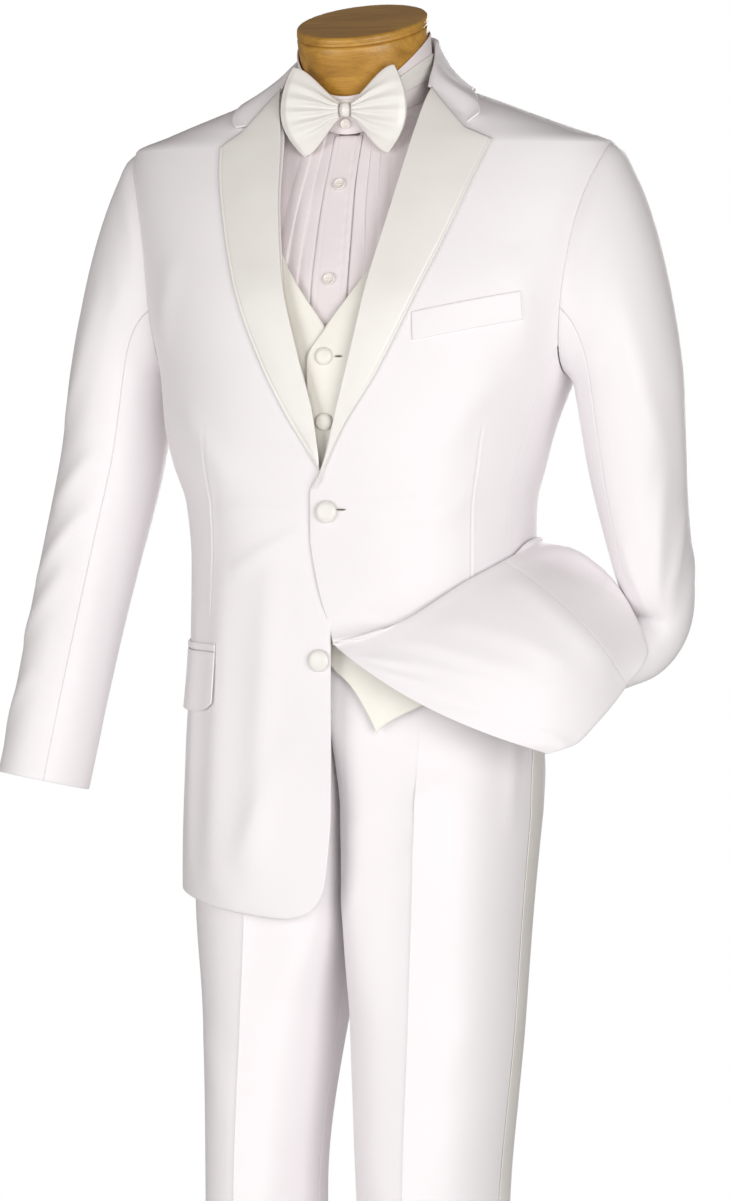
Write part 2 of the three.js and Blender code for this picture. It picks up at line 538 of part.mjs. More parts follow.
function buildTrousers() {
  const heights = [HEM_HEIGHT, 200, 340, 480, 600, 680, 750, 815, 838, 860, 882, 905, 965, TROUSER_TOP];
  const front = [-89.7, -68, -49, -38, -20, -9, 0, 9, 30, 60, 89.7];
  const back = [90.3, 120, 150, 171, 180, 189, 200, 218, 229, 248, 269.7];
  for (const [label, side] of [["right", -1], ["left", 1]]) {
    const panel = (name, turns) => {
      const us = side > 0 ? turns : [...turns].reverse();
      cloth(name, WHITE_CLOTH, TROUSER_WALL, us, heights, (turn, z) => trouserPoint(side, turn, z));
    };
    panel(`trouser_front_${label}`, front);
    panel(`trouser_back_${label}`, back);
    const stripe = side > 0 ? [81, 87.5, 92.5, 99] : [99, 92.5, 87.5, 81];
    const stripeRows = heights.map((z) => Math.max(z, HEM_HEIGHT + 2));
    cloth(`trouser_stripe_${label}`, WHITE_SATIN, 0.8, stripe, stripeRows, (turn, z) => {
      return trouserPoint(side, turn, z, 1.4);
    });
  }
  cloth("trouser_waistband", WHITE_CLOTH, TROUSER_WALL, spaced(0, 348, 29), [TROUSER_TOP + 0.4, 1071],
    (t, z) => seat(t, z), true);
}

// Jacket body
// The height of the armhole's lower edge above the underarm panel, at turn t
const armholeFloor = (t) => ARMHOLE.middle
  - ARMHOLE.halfHeight * Math.sqrt(Math.max(0, 1 - ((Math.abs(t) - 90) / ARMHOLE.halfTurn) ** 2)) - 0.3;
const underarmColumns = [0, 0.232, 0.5, 0.768, 1];
const hemRise = (t, z) => 14 * ease(8, 70, Math.abs(t)) * (1 - ease(720, 900, z));
function buildJacketBody() {
  const bodyRows = [760, 815, 900, 961, 1010, 1060, 1098, 1137, 1175, 1215];
  const frontRows = [720, 726, 737, ...bodyRows, ...armholeRows, ...shoulderRows];
  cloth("jacket_front_right", WHITE_CLOTH, JACKET_WALL, steps(9), frontRows, (u, z) => {
    const t = mix(-outerTurn(z, -1), jacket.turnAt(rightFrontEdge(z, "x"), z), u);
    return jacket(t, z + hemRise(t, z), -3 * ease(0.5, 0.85, u) * (1 - ease(1142, 1172, z)));
  });
  const sideRows = [720, 737, ...bodyRows, UNDERARM_JOIN];
  cloth("jacket_side_right", WHITE_CLOTH, JACKET_WALL, underarmColumns, sideRows, (u, row) => {
    const turnOf = (z) => mix(-outerTurn(z, 1) + 2 * SEAM_TURN, -outerTurn(z, -1) - 2 * SEAM_TURN, u);
    const z = row < UNDERARM_JOIN ? row : armholeFloor(turnOf(row));
    return jacket(turnOf(z), z + hemRise(turnOf(z), z));
  });
  const backRows = [720, 737, ...bodyRows, ...armholeRows, ...shoulderRows];
  cloth("jacket_back_right", WHITE_CLOTH, JACKET_WALL, steps(7), backRows, (u, z) => {
    const t = mix(180.1, 360 - outerTurn(z, 1), u);
    return jacket(t, z + hemRise(180 - t, z));
  });
  cloth("jacket_back_left", WHITE_CLOTH, JACKET_WALL, steps(7), backRows, (u, z) => {
    const sweep = 12 * (1 - ease(900, 1066, z));
    const t = mix(outerTurn(z, 1) + sweep, 179.9, u);
    return jacket(t, z + hemRise(180 - t, z));
  });
  buildSweptSide();
}

// The swept skirt's surface: skirt(u, v) with v from 0 at the waist fold to 1 at the hem
const readSkirt = reader(SWEPT_SKIRT, "u");
function skirt(u, v) {
  const through = (a, b, c) => a * (1 - v) * (1 - 2 * v) + b * 4 * v * (1 - v) + c * v * (2 * v - 1);
  const at = (axis) => through(readSkirt(u, axis + 0), readSkirt(u, axis + 1), readSkirt(u, axis + 2));
  return point(at("x"), at("y"), at("z"));
}
const readFold = reader(WAIST_FOLD, "u");
// The rows round the fold, from its edge down its hidden layer and up again: down is the share of the tuck
// where the cloth is folded, plain where it runs on unfolded, and out is the distance from the body
const FOLD_ROWS = [
  { v: 1.1, down: 0, plain: 0.05, rise: 1.2, out: 4 },
  { v: 1.25, down: 0.25, plain: 0.3, rise: 0, out: 1.7 },
  { v: 1.4, down: 0.92, plain: 0.7, rise: 0, out: 1.2 },
  { v: 1.55, down: 1, plain: 0.9, rise: -0.5, out: 0.6 },
  { v: 1.7, down: 1, plain: 1, rise: 0, out: 0 },
];
const UPPER_START = 1090;
// The left side of the jacket: v runs from the hem (0) to the fold's edge (1), round the fold (to 2), up the
// body (to 3) and from there on is the height in millimetres
function leftPoint(u, v, turnOf) {
  if (v <= 1) return skirt(u, 1 - v);
  const edge = skirt(u, 0);
  const tuck = readFold(u, "tuck");
  const low = edge.z - tuck;
  if (v < 2) {
    const row = FOLD_ROWS.find((each) => each.v === v);
    const open = limit(tuck / 6, 0, 1);
    const z = edge.z - tuck * mix(row.plain, row.down, open) + row.rise * open;
    return jacket(turnOf(u, z), z, (row.out * readFold(u, "out")) / 7);
  }
  const z = v <= 3 ? mix(low, UPPER_START, v - 2) : v;
  return jacket(turnOf(u, z), z);
}
function buildSweptSide() {
  const skirtVs = [0, 0.14, 0.3, 0.48, 0.66, 0.82, 0.94, 1];
  const foldVs = FOLD_ROWS.map((row) => row.v);
  const upperVs = [2.35, 2.7, 3];
  const chestRows = [1112, 1137, 1175, 1215];
  const seam = 0.0009;
  const frontTurn = (u, z) => {
    const start = jacket.turnAt(leftFrontEdge(z, "x"), z);
    return mix(start, outerTurn(z, -1), u / (SIDE_SEAM_U - seam));
  };
  const us = [0, 0.05, 0.11, 0.18, 0.25, 0.33, 0.41, 0.5, SIDE_SEAM_U - seam];
  cloth("jacket_front_left", WHITE_CLOTH, JACKET_WALL, us,
    [...skirtVs, ...foldVs, ...upperVs, ...chestRows, ...armholeRows, ...shoulderRows],
    (u, v) => leftPoint(u, v, frontTurn));
  const sideShare = (u) => (u - SIDE_SEAM_U - seam) / (1 - SIDE_SEAM_U - seam);
  const [atFront, atBack] = [(z) => outerTurn(z, -1) + 2 * SEAM_TURN, (z) => outerTurn(z, 1) - 2 * SEAM_TURN];
  const sideTurn = (u, z) => mix(atFront(z), atBack(z), sideShare(u));
  const sideUs = [0, 0.12, 0.232, 0.36, 0.5, 0.768, 1].map((share) => mix(SIDE_SEAM_U + seam, 1, share));
  const sideVs = [...skirtVs, ...foldVs, ...upperVs, ...chestRows, UNDERARM_JOIN];
  cloth("jacket_side_left", WHITE_CLOTH, JACKET_WALL, sideUs, sideVs, (u, v) => {
    return leftPoint(u, v < UNDERARM_JOIN ? v : armholeFloor(sideTurn(u, v)), sideTurn);
  });
}

// Sleeves: a tube from the armhole, over the sleeve head, then down the rings of its table
function sleeveSurface(table, side) {
  const read = reader(table, "s");
  const last = table.at(-1).s;
  const centre = (s) => point(read(s, "x"), read(s, "y"), read(s, "z"));
  const ring = (turn, s) => {
    const along = centre(Math.min(s + 0.05, last)).sub(centre(Math.max(s - 0.05, 0))).normalize();
    const outward = point(side, 0, 0);
    outward.addScaledVector(along, -outward.dot(along)).normalize();
    const forward = along.clone().cross(outward).multiplyScalar(side);
    return centre(s).addScaledVector(outward, read(s, "w") * Math.cos(turn * DEGREE))
      .addScaledVector(forward, read(s, "d") * Math.sin(turn * DEGREE));
  };
  const armhole = (turn) => {
    const z = ARMHOLE.middle + (ARMHOLE.halfHeight - 0.5) * Math.cos(turn * DEGREE);
    const t = 90 - (ARMHOLE.halfTurn - 0.1) * Math.sin(turn * DEGREE);
    return jacket(side * t, z);
  };
  // Above the armpit each line leaves the armhole outwards and bends into the arm's direction
  return (turn, s) => {
    if (s >= 0) return ring(turn, s);
    const share = 1 + s;
    const [start, end] = [armhole(turn), ring(turn, 0)];
    const reach = start.distanceTo(end);
    const leave = point(side * 0.8, -0.2 * Math.sin(turn * DEGREE), -0.6);
    leave.multiplyScalar(Math.min(120, reach));
    const arrive = centre(0.05).sub(centre(0)).normalize().multiplyScalar(reach);
    const place = start.multiplyScalar(2 * share ** 3 - 3 * share ** 2 + 1);
    place.addScaledVector(leave, share ** 3 - 2 * share ** 2 + share);
    place.addScaledVector(end, 3 * share ** 2 - 2 * share ** 3);
    return place.addScaledVector(arrive, share ** 3 - share ** 2);
  };
}
const rightSleeve = sleeveSurface(RIGHT_SLEEVE, -1);
const leftSleeve = sleeveSurface(LEFT_SLEEVE, 1);
function buildSleeves() {
  const head = [-1, -0.92, -0.8, -0.6, -0.32, 0];
  const elbow = [3, 3.3, 3.6, 3.85, 4.1, 4.35];
  const arms = [
    { label: "right", surface: rightSleeve, rings: [0.5, 1, 1.5, 2, 3, 4, 5], side: -1 },
    { label: "left", surface: leftSleeve, rings: [0.5, 1, 2, 2.6, ...elbow, 4.6, 5], side: 1 },
  ];
  for (const { label, surface, rings, side } of arms) {
    // Rows run from the cuff up, and columns round so that the outer face looks out
    const rows = [...head, ...rings].reverse();
    const half = (name, turns) => {
      cloth(name, WHITE_CLOTH, JACKET_WALL, side > 0 ? [...turns].reverse() : turns, rows, surface);
    };
    const above = armholeTurns.filter((turn) => turn > 1 && turn < SLEEVE_SEAM - 1);
    const edge = SLEEVE_SEAM - 0.25;
    const mirrored = (turns, about) => turns.map((turn) => about - turn).reverse();
    half(`jacket_top_sleeve_${label}`, [-edge, ...mirrored(above, 0), 0, ...above, edge]);
    const over = SLEEVE_SEAM + 0.25;
    const below = [over, UNDERARM_TURN, mix(UNDERARM_TURN, 180, 0.5)];
    half(`jacket_under_sleeve_${label}`, [...below, 180, ...mirrored(below, 360)]);
  }
}

// Lapels and collar lie on the fronts, moved out. A lapel row runs from the fold to the outer edge.
const LAPELS = {
  left: [
    { v: 0, foldX: -1, foldZ: 1130, edgeX: -6, edgeZ: 1118, notch: 0 },
    { v: 0.14, foldX: 12, foldZ: 1177, edgeX: 22, edgeZ: 1176, notch: 0 },
    { v: 0.32, foldX: 27, foldZ: 1238, edgeX: 52, edgeZ: 1225, notch: 0 },
    { v: 0.55, foldX: 43, foldZ: 1314, edgeX: 88, edgeZ: 1300, notch: 0 },
    { v: 0.74, foldX: 58, foldZ: 1378, edgeX: 114, edgeZ: 1360, notch: 0 },
    { v: 0.9, foldX: 68, foldZ: 1434, edgeX: 131, edgeZ: 1408, notch: 3 },
    { v: 1, foldX: 75.5, foldZ: 1483, edgeX: 142, edgeZ: 1440, notch: 9 },
  ],
  right: [
    { v: 0, foldX: -2, foldZ: 1141, edgeX: -3, edgeZ: 1136, notch: 0 },
    { v: 0.14, foldX: -6, foldZ: 1182, edgeX: -24, edgeZ: 1170, notch: 0 },
    { v: 0.32, foldX: -21, foldZ: 1238, edgeX: -60, edgeZ: 1232, notch: 0 },
    { v: 0.55, foldX: -42, foldZ: 1314, edgeX: -92, edgeZ: 1305, notch: 0 },
    { v: 0.74, foldX: -52, foldZ: 1378, edgeX: -111, edgeZ: 1372, notch: 0 },
    { v: 0.9, foldX: -59, foldZ: 1434, edgeX: -121, edgeZ: 1416, notch: 2 },
    { v: 1, foldX: -72, foldZ: 1486, edgeX: -124, edgeZ: 1437, notch: 8 },
  ],
};
const LAPEL_OUT = 2.6;
const NOTCH_SHARE = 0.6; // the part of a lapel's upper edge that is sewn to the collar
const lapelReaders = new Map(Object.values(LAPELS).map((table) => [table, reader(table, "v")]));
function lapelPoint(table, u, v) {
  const read = lapelReaders.get(table);
  const x = mix(read(v, "foldX"), read(v, "edgeX"), u);
  const dip = read(v, "notch") * Math.min(u / NOTCH_SHARE, (1 - u) / (1 - NOTCH_SHARE));
  const z = mix(read(v, "foldZ"), read(v, "edgeZ"), u) - dip;
  const roll = 3.5 * ease(0, 0.35, v) * (1 - u) ** 2 + 1.2 * Math.sin(Math.PI * u);
  const under = table === LAPELS.right ? 3 * (1 - ease(1142, 1185, z)) : 0;
  return jacket(jacket.turnAt(x, z), z, LAPEL_OUT + roll - under);
}

// The collar, from the left gorge (k 0) to the centre back (k 0.5): its outer edge lies on the jacket at a
// turn and height, its fold stands round the neck, and its stand goes down inside to the neckline's seam
const COLLAR = [
  { k: 0, turn: 41.5, edgeZ: 1461, foldX: 76, foldY: -47, foldZ: 1491, seamX: 74, seamY: -46, seamZ: 1490 },
  { k: 0.1, turn: 59, edgeZ: 1477, foldX: 74.5, foldY: -31, foldZ: 1508, seamX: 71, seamY: -31, seamZ: 1501 },
  { k: 0.2, turn: 90, edgeZ: 1489, foldX: 69.5, foldY: -9, foldZ: 1523, seamX: 71, seamY: -10, seamZ: 1503 },
  { k: 0.3, turn: 122, edgeZ: 1490, foldX: 63, foldY: 11, foldZ: 1539, seamX: 65, seamY: 13, seamZ: 1503 },
  { k: 0.4, turn: 151, edgeZ: 1487, foldX: 38, foldY: 36, foldZ: 1545, seamX: 41, seamY: 41, seamZ: 1503 },
  { k: 0.5, turn: 180, edgeZ: 1484, foldX: 0, foldY: 47, foldZ: 1547, seamX: 0, seamY: 52, seamZ: 1503 },
];
const RIGHT_COLLAR_TURN = 30; // the turn of the right collar's front corner
const readCollar = reader(COLLAR, "k");
// v runs from the outer edge (0) to the fold (1), over it (1.1) and down to the stand's seam (2)
function collarPoint(k, v) {
  const mirror = k > 0.5 ? -1 : 1;
  const half = limit(k > 0.5 ? 1 - k : k, 0, 0.5);
  const read = (name) => readCollar(half, name);
  const at = (name) => point(mirror * read(name + "X"), read(name + "Y"), read(name + "Z"));
  const narrower = mirror < 0 ? (COLLAR[0].turn - RIGHT_COLLAR_TURN) * (1 - ease(0, 0.16, half)) : 0;
  const lift = mix(6.6, 4.2, ease(0, 0.15, half));
  const edge = jacket(mirror * (read("turn") - narrower), read("edgeZ"), lift);
  const fold = at("fold");
  const behind = ease(0.2, 0.5, half);
  const inward = point(-mirror * (1 - behind), -behind, 0);
  if (v > 1 && v < 1.2) return fold.addScaledVector(inward, 2.2).add(point(0, 0, 0.3));
  if (v > 1) return fold.addScaledVector(inward, 4).lerp(at("seam"), v - 1);
  const place = edge.lerp(fold, v);
  const hollow = 5 * Math.sin(Math.PI * v) * ease(0.05, 0.2, half);
  const notch = -7 * Math.min(v / 0.28, (1 - v) / 0.72) * (1 - ease(0, 0.06, half));
  return place.addScaledVector(inward, hollow * 0.7).add(point(0, 0, notch - hollow * 0.5));
}
function buildCollarAndLapels() {
  const vs = [0, 0.06, 0.14, 0.28, 0.42, 0.56, 0.7, 0.82, 0.92, 1];
  const us = [0, 0.3, NOTCH_SHARE, 0.8, 1];
  const across = [...us].reverse();
  cloth("jacket_lapel_left", WHITE_SATIN, SATIN_WALL, us, vs, (u, v) => lapelPoint(LAPELS.left, u, v));
  cloth("jacket_lapel_right", WHITE_SATIN, SATIN_WALL, across, vs, (u, v) => lapelPoint(LAPELS.right, u, v));
  const near = [0, 0.04, 0.1, 0.17, 0.24, 0.3, 0.37, 0.44];
  const columns = [...near, 0.5, ...near.map((k) => 1 - k).reverse()];
  const collarVs = [0, 0.28, 0.5, 0.75, 0.92, 1, 1.1, 1.4, 2];
  cloth("jacket_collar", WHITE_CLOTH, JACKET_WALL, columns, collarVs, collarPoint);
}

// Breast welt, hip pocket and the two front buttons
function buildPocketsAndButtons() {
  const patch = (name, finish, thick, corners, out) => {
    const [a, b, c, d] = corners.map(([x, z]) => point(x, 0, z));
    cloth(name, finish, thick, spaced(0, 1, 4), [0, 0.5, 1], (u, v) => {
      const p = a.clone().lerp(b, u).lerp(d.clone().lerp(c, u), v);
      return jacket(jacket.turnAt(p.x, p.z), p.z, out);
    });
  };
  patch("breast_pocket_welt", WHITE_CLOTH, 1.4, [[85, 1255], [177, 1274], [176, 1300], [84, 1281]], 1.8);
  const flapTurn = (u) => mix(-88, -37, u);
  cloth("hip_pocket_welt", WHITE_CLOTH, 1.4, steps(8), [966, 972.5], (u, z) => jacket(flapTurn(u), z, 2.3));
  cloth("hip_pocket_flap", WHITE_CLOTH, 1.4, steps(8), [0, 0.12, 0.5, 1], (u, v) => {
    const rounding = 9 * (1 - ease(0, 0.25, v)) * Math.abs(2 * u - 1) ** 6;
    return jacket(flapTurn(u), mix(908 + rounding, 965, v), 2.5 + 2 * (1 - v));
  });
  const placed = (name, x, z, out) => button(name, WHITE_SATIN, 10.5, 5, jacket, jacket.turnAt(x, z), z, out);
  placed("jacket_button_top", 5, 1098, 0.4);
  placed("jacket_button_lower", -2, 961, -2.7);
}

// Bow tie: two gathered wings, a knot and a strap round the collar band
function buildBowTie() {
  const knot = { x: 3, y: -78, z: 1469 };
  const wings = [
    { label: "right", side: -1, tip: 63, top: { x: 51, z: 38 }, low: { x: 41, z: -45 } },
    { label: "left", side: 1, tip: 57, top: { x: 45, z: 38 }, low: { x: 42, z: -42 } },
  ];
  for (const { label, side, tip, top, low } of wings) {
    const rings = [0, 0.15, 0.35, 0.6, 0.8, 0.93, 1].map((share) => {
      const spread = ease(-0.25, 1, share);
      const puff = mix(3.4, 6, Math.sin(Math.PI * share ** 0.7)) * (share > 0.95 ? 0.45 : 1);
      const loop = steps(14).slice(0, 14).map((s) => {
        const [across, up] = [Math.cos(2 * Math.PI * s), Math.sin(2 * Math.PI * s)];
        const corner = up > 0 ? top : low;
        const reach = mix(corner.x, tip, across ** 2 * (share > 0.5 ? 1 : 0.5));
        const tall = Math.abs(corner.z) * mix(0.1, 1, spread);
        const x = side * mix(6.3, reach, share);
        return point(knot.x + x, knot.y + 5 * share - puff * across, knot.z + tall * up);
      });
      return side > 0 ? loop.reverse() : loop;
    });
    loft(`bow_wing_${label}`, WHITE_SATIN, rings);
  }
  const knotRings = [-1, -0.6, 0, 0.6, 1].map((v) => steps(12).slice(0, 12).map((s) => {
    const angle = 2 * Math.PI * s;
    const round = Math.sqrt(1 - 0.5 * v * v);
    const [across, deep] = [6 * round * Math.sin(angle), 6.5 * round * Math.cos(angle)];
    return point(knot.x + across, knot.y - 1 - deep, knot.z + 8 * v);
  }));
  loft("bow_knot", WHITE_SATIN, knotRings);
  cloth("bow_strap", WHITE_SATIN, 1.2, spaced(-174, 174, 28), [0, 1], (turn, rise) => {
    const front = (1 + Math.cos(turn * DEGREE)) / 2;
    const place = collarBand(turn, mix(mix(0.34, 0.43, front ** 2), mix(0.69, 0.9, front ** 2), rise));
    return place.add(point(Math.sin(turn * DEGREE) * 1.8, -Math.cos(turn * DEGREE) * 1.8, 0));
  });
}

buildForm();
buildShirt();
buildWaistcoat();
buildTrousers();
buildJacketBody();
buildSleeves();
buildCollarAndLapels();
buildPocketsAndButtons();
buildBowTie();

export default suit;
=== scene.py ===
from functools import partial

import bmesh
import bpy
import numpy as np
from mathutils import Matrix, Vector


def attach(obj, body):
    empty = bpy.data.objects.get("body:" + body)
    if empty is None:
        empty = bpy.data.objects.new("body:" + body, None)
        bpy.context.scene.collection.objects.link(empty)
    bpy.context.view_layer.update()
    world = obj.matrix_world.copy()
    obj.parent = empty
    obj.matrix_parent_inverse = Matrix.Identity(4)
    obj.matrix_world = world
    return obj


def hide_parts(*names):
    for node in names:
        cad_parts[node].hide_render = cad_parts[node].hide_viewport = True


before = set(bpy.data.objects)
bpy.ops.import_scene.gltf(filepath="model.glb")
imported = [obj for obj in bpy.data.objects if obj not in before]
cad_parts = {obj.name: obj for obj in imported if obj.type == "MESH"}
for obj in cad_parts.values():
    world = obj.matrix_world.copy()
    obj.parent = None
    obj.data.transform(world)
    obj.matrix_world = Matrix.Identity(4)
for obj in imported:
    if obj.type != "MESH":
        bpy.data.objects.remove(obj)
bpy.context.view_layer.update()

# The stand: a low turned steel base, a tube up through the right trouser leg and the socket under the
# torso. All three are turned shapes with small rounded edges, finished in brushed steel.
MM = 0.001  # sizes are in millimetres, and meshes in metres


def node(tree, kind, inputs, **settings):
    """Adds a shader node: each input is a socket to link from, or a value."""
    made = tree.nodes.new("ShaderNode" + kind)
    for key, value in settings.items():
        setattr(made, key, value)
    for key, value in inputs.items():
        if isinstance(value, bpy.types.NodeSocket):
            tree.links.new(value, made.inputs[key])
        else:
            made.inputs[key].default_value = value
    return made


def finish(name, **sockets):
    """A new material with its Principled shader's own sockets set. Returns it with its tree and shader."""
    made = bpy.data.materials.new(name)
    made.use_nodes = True
    shader = made.node_tree.nodes["Principled BSDF"]
    for key, value in sockets.items():
        shader.inputs[key.replace("_", " ")].default_value = value
    return made, made.node_tree, shader


def relief(tree, shader, height, strength, distance=0.0002):
    """A fine bump on the shader, from a socket that gives its height."""
    bump = node(tree, "Bump", {"Height": height, "Strength": strength, "Distance": distance})
    tree.links.new(bump.outputs[0], shader.inputs["Normal"])


def shader_group(name, outputs, **inputs):
    """A node group with a Vector input, further inputs at their starting values, and outputs of named kinds.
    Returns it with its input and output nodes."""
    group = bpy.data.node_groups.new(name, "ShaderNodeTree")
    group.interface.new_socket("Vector", in_out="INPUT", socket_type="NodeSocketVector")
    for label, start in inputs.items():
        kind = "NodeSocketColor" if isinstance(start, tuple) else "NodeSocketFloat"
        group.interface.new_socket(label, in_out="INPUT", socket_type=kind).default_value = start
    for label, kind in outputs.items():
        group.interface.new_socket(label, in_out="OUTPUT", socket_type=kind)
    return group, group.nodes.new("NodeGroupInput"), group.nodes.new("NodeGroupOutput")


# Soft clouds between two tones, which most of the materials share
clouding, entry, leave = shader_group("clouding", {"Color": "NodeSocketColor"}, Scale=9.0, Detail=2.0,
                                      Light=(1, 1, 1, 1), Shade=(0.9, 0.9, 0.9, 1))
drift = node(clouding, "TexNoise", {key: entry.outputs[key] for key in ("Vector", "Scale", "Detail")})
blended = node(clouding, "Mix", {"Factor": drift.outputs["Fac"], "A": entry.outputs["Light"],
                                 "B": entry.outputs["Shade"]}, data_type="RGBA")
clouding.links.new(blended.outputs["Result"], leave.inputs["Color"])


def clouded(name, light, shade, scale, detail=2.0, **sockets):
    """A material whose colour drifts between two tones. Returns it with its tree, shader and coordinates."""
    made, tree, shader = finish(name, **sockets)
    where = node(tree, "TexCoord", {})
    tones = {"Light": (*light, 1), "Shade": (*shade, 1), "Scale": scale, "Detail": detail}
    group = node(tree, "Group", {"Vector": where.outputs["Object"], **tones}, node_tree=clouding)
    tree.links.new(group.outputs["Color"], shader.inputs["Base Color"])
    return made, tree, shader, where


def flat_lengths(grid):
    """UV in metres: the lengths along the grid's middle column and middle row, added up from the corner."""
    along = np.linalg.norm(np.diff(grid[:, grid.shape[1] // 2], axis=0), axis=-1)
    across = np.linalg.norm(np.diff(grid[grid.shape[0] // 2], axis=0), axis=-1)
    u, v = np.meshgrid(np.append(0, np.cumsum(across)), np.append(0, np.cumsum(along)))
    return np.stack([u, v], -1) * MM


def join(name, patches, surface, slot, *nodes):
    """One smooth piece from patches, each a grid of points (rows, columns, 3) and its UV. A quad runs from
    (row, column) to (row, column + 1) and on to the next row, and points on one spot are merged."""
    points, uvs, quads, first = [], [], [], 0
    for grid, uv in patches:
        number = first + np.arange(grid[..., 0].size).reshape(grid.shape[:2])
        corners = [number[:-1, :-1], number[:-1, 1:], number[1:, 1:], number[1:, :-1]]
        quads.append(np.stack(corners, -1).reshape(-1, 4))
        points.append(grid.reshape(-1, 3))
        uvs.append(uv.reshape(-1, 2))
        first += number.size
    points, uvs, quads = np.concatenate(points) * MM, np.concatenate(uvs), np.concatenate(quads)
    mesh = bpy.data.meshes.new(name)
    mesh.vertices.add(len(points))
    mesh.vertices.foreach_set("co", points.ravel())
    mesh.loops.add(quads.size)
    mesh.loops.foreach_set("vertex_index", quads.ravel())
    mesh.polygons.add(len(quads))
    mesh.polygons.foreach_set("loop_start", np.arange(0, quads.size, 4))
    mesh.polygons.foreach_set("use_smooth", np.ones(len(quads), bool))
    mesh.uv_layers.new(name="flat").data.foreach_set("uv", uvs[quads.ravel()].ravel())
    mesh.update(calc_edges=True)
    merged = bmesh.new()
    merged.from_mesh(mesh)
    bmesh.ops.remove_doubles(merged, verts=merged.verts, dist=1e-6)
    bmesh.ops.recalc_face_normals(merged, faces=merged.faces)
    merged.to_mesh(mesh)
    merged.free()
    piece = bpy.data.objects.new(name, mesh)
    bpy.context.collection.objects.link(piece)
    mesh.materials.append(surface)
    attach(piece, "root")
    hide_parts(*nodes)
    return piece


def turned(profile, sides, middle=(0, 0, 0), facing=(0, 0, 1)):
    """A turned shape's patch: (radius, height) rows carried round an axis through middle along facing."""
    facing = np.array(facing, float) / np.linalg.norm(facing)
    side = np.cross(facing, [0, 1, 0] if abs(facing[1]) < 0.9 else [1, 0, 0])
    side /= np.linalg.norm(side)
    other = np.cross(facing, side)
    angle = np.linspace(0, 2 * np.pi, sides + 1)
    ring = np.cos(angle)[:, None] * side + np.sin(angle)[:, None] * other
    ring[-1] = ring[0]
    radius, height = np.array(profile, float).T
    grid = np.array(middle) + radius[:, None, None] * ring + height[:, None, None] * facing
    return grid, flat_lengths(grid)


steel, tree, shader, where = clouded("brushed steel", (0.34, 0.34, 0.35), (0.42, 0.42, 0.43), 9.0, 3.0,
                                     Metallic=0.9, Roughness=0.34)
stretched = node(tree, "Mapping", {"Vector": where.outputs["Object"], "Scale": (30, 30, 900)})
brushed = node(tree, "TexNoise", {"Vector": stretched.outputs[0], "Scale": 1.0, "Detail": 4.0})
tone = node(tree, "MapRange", {"Value": brushed.outputs["Fac"], "To Min": 0.26, "To Max": 0.46})
tree.links.new(tone.outputs[0], shader.inputs["Roughness"])
relief(tree, shader, brushed.outputs["Fac"], 0.15)

BASE_RADIUS, BASE_HEIGHT = 205, 14
POLE_X, POLE_Y, POLE_RADIUS, POLE_TOP = -80, -20, 12.5, 895.7
SEAM = 0.3
SOCKET_BOTTOM, SOCKET_TOP, SOCKET_RADIUS = POLE_TOP + SEAM, 911.7, 26.5
base_profile = [(BASE_RADIUS - inset, z) for inset, z in ((205, 0), (3, 0), (1, 0.8), (0, 3), (0.4, 5), (2, 7.4))]
base_profile += [(BASE_RADIUS - inset, z) for inset, z in ((5, 9), (30, 11.6), (55, 13.6))]
base_profile += [(146, BASE_HEIGHT), (60, BASE_HEIGHT), (0, BASE_HEIGHT)]
pole_profile = [(0, BASE_HEIGHT + SEAM), (12.2, BASE_HEIGHT + SEAM), (POLE_RADIUS, BASE_HEIGHT + 0.8)]
pole_profile += [(POLE_RADIUS, POLE_TOP - 0.5), (12.2, POLE_TOP), (0, POLE_TOP)]
socket_profile = [(0, SOCKET_BOTTOM), (25, SOCKET_BOTTOM), (SOCKET_RADIUS, SOCKET_BOTTOM + 1.5)]
socket_profile += [(SOCKET_RADIUS, SOCKET_TOP - 2), (SOCKET_RADIUS - 2, SOCKET_TOP), (0, SOCKET_TOP)]
join("stand_base", [turned(base_profile, 128)], steel, "stand_steel", "form_base")
join("stand_pole", [turned(pole_profile, 48, (POLE_X, POLE_Y, 0))], steel, "stand_steel", "form_pole")
join("stand_socket", [turned(socket_profile, 64, (POLE_X, POLE_Y, 0))], steel, "stand_steel", "form_socket")

# The torso of the dress form: a moulded shell covered in jersey, cut off above the arms and at the hips.
# Its section at each height is a superellipse, which the shirt is draped over.
SQUARENESS = 2.3


def table(columns, *rows):
    """A short table as named arrays. The first column is the one that it is read by."""
    return dict(zip(columns.split(), np.array(rows, float).T))


def read(rows, at, name):
    """A table's column at any value of its first column: cubic spans whose slopes at the rows are the
    harmonic means of the rises beside them, so that the curve never overshoots a row."""
    keys, values = next(iter(rows.values())), rows[name]
    rise = np.diff(values) / np.diff(keys)
    same_way = rise[:-1] * rise[1:] > 0
    mean = 2 * rise[:-1] * rise[1:] / np.where(same_way, rise[:-1] + rise[1:], 1)
    slope = np.concatenate([rise[:1], np.where(same_way, mean, 0), rise[-1:]])
    at = np.clip(at, keys[0], keys[-1])
    i = np.clip(np.searchsorted(keys, at) - 1, 0, len(keys) - 2)
    span = keys[i + 1] - keys[i]
    s = (at - keys[i]) / span
    start, end = values[i] * (2 * s**3 - 3 * s**2 + 1), values[i + 1] * (3 * s**2 - 2 * s**3)
    return start + end + span * (slope[i] * (s**3 - 2 * s**2 + s) + slope[i + 1] * (s**3 - s**2))


def mix(a, b, share):
    """The value that lies share of the way from a to b."""
    return a + (b - a) * share


def ease(low, high, x):
    """Rises smoothly from 0 at low to 1 at high: 3s² − 2s³."""
    s = np.clip((x - low) / (high - low), 0, 1)
    return s * s * (3 - 2 * s)


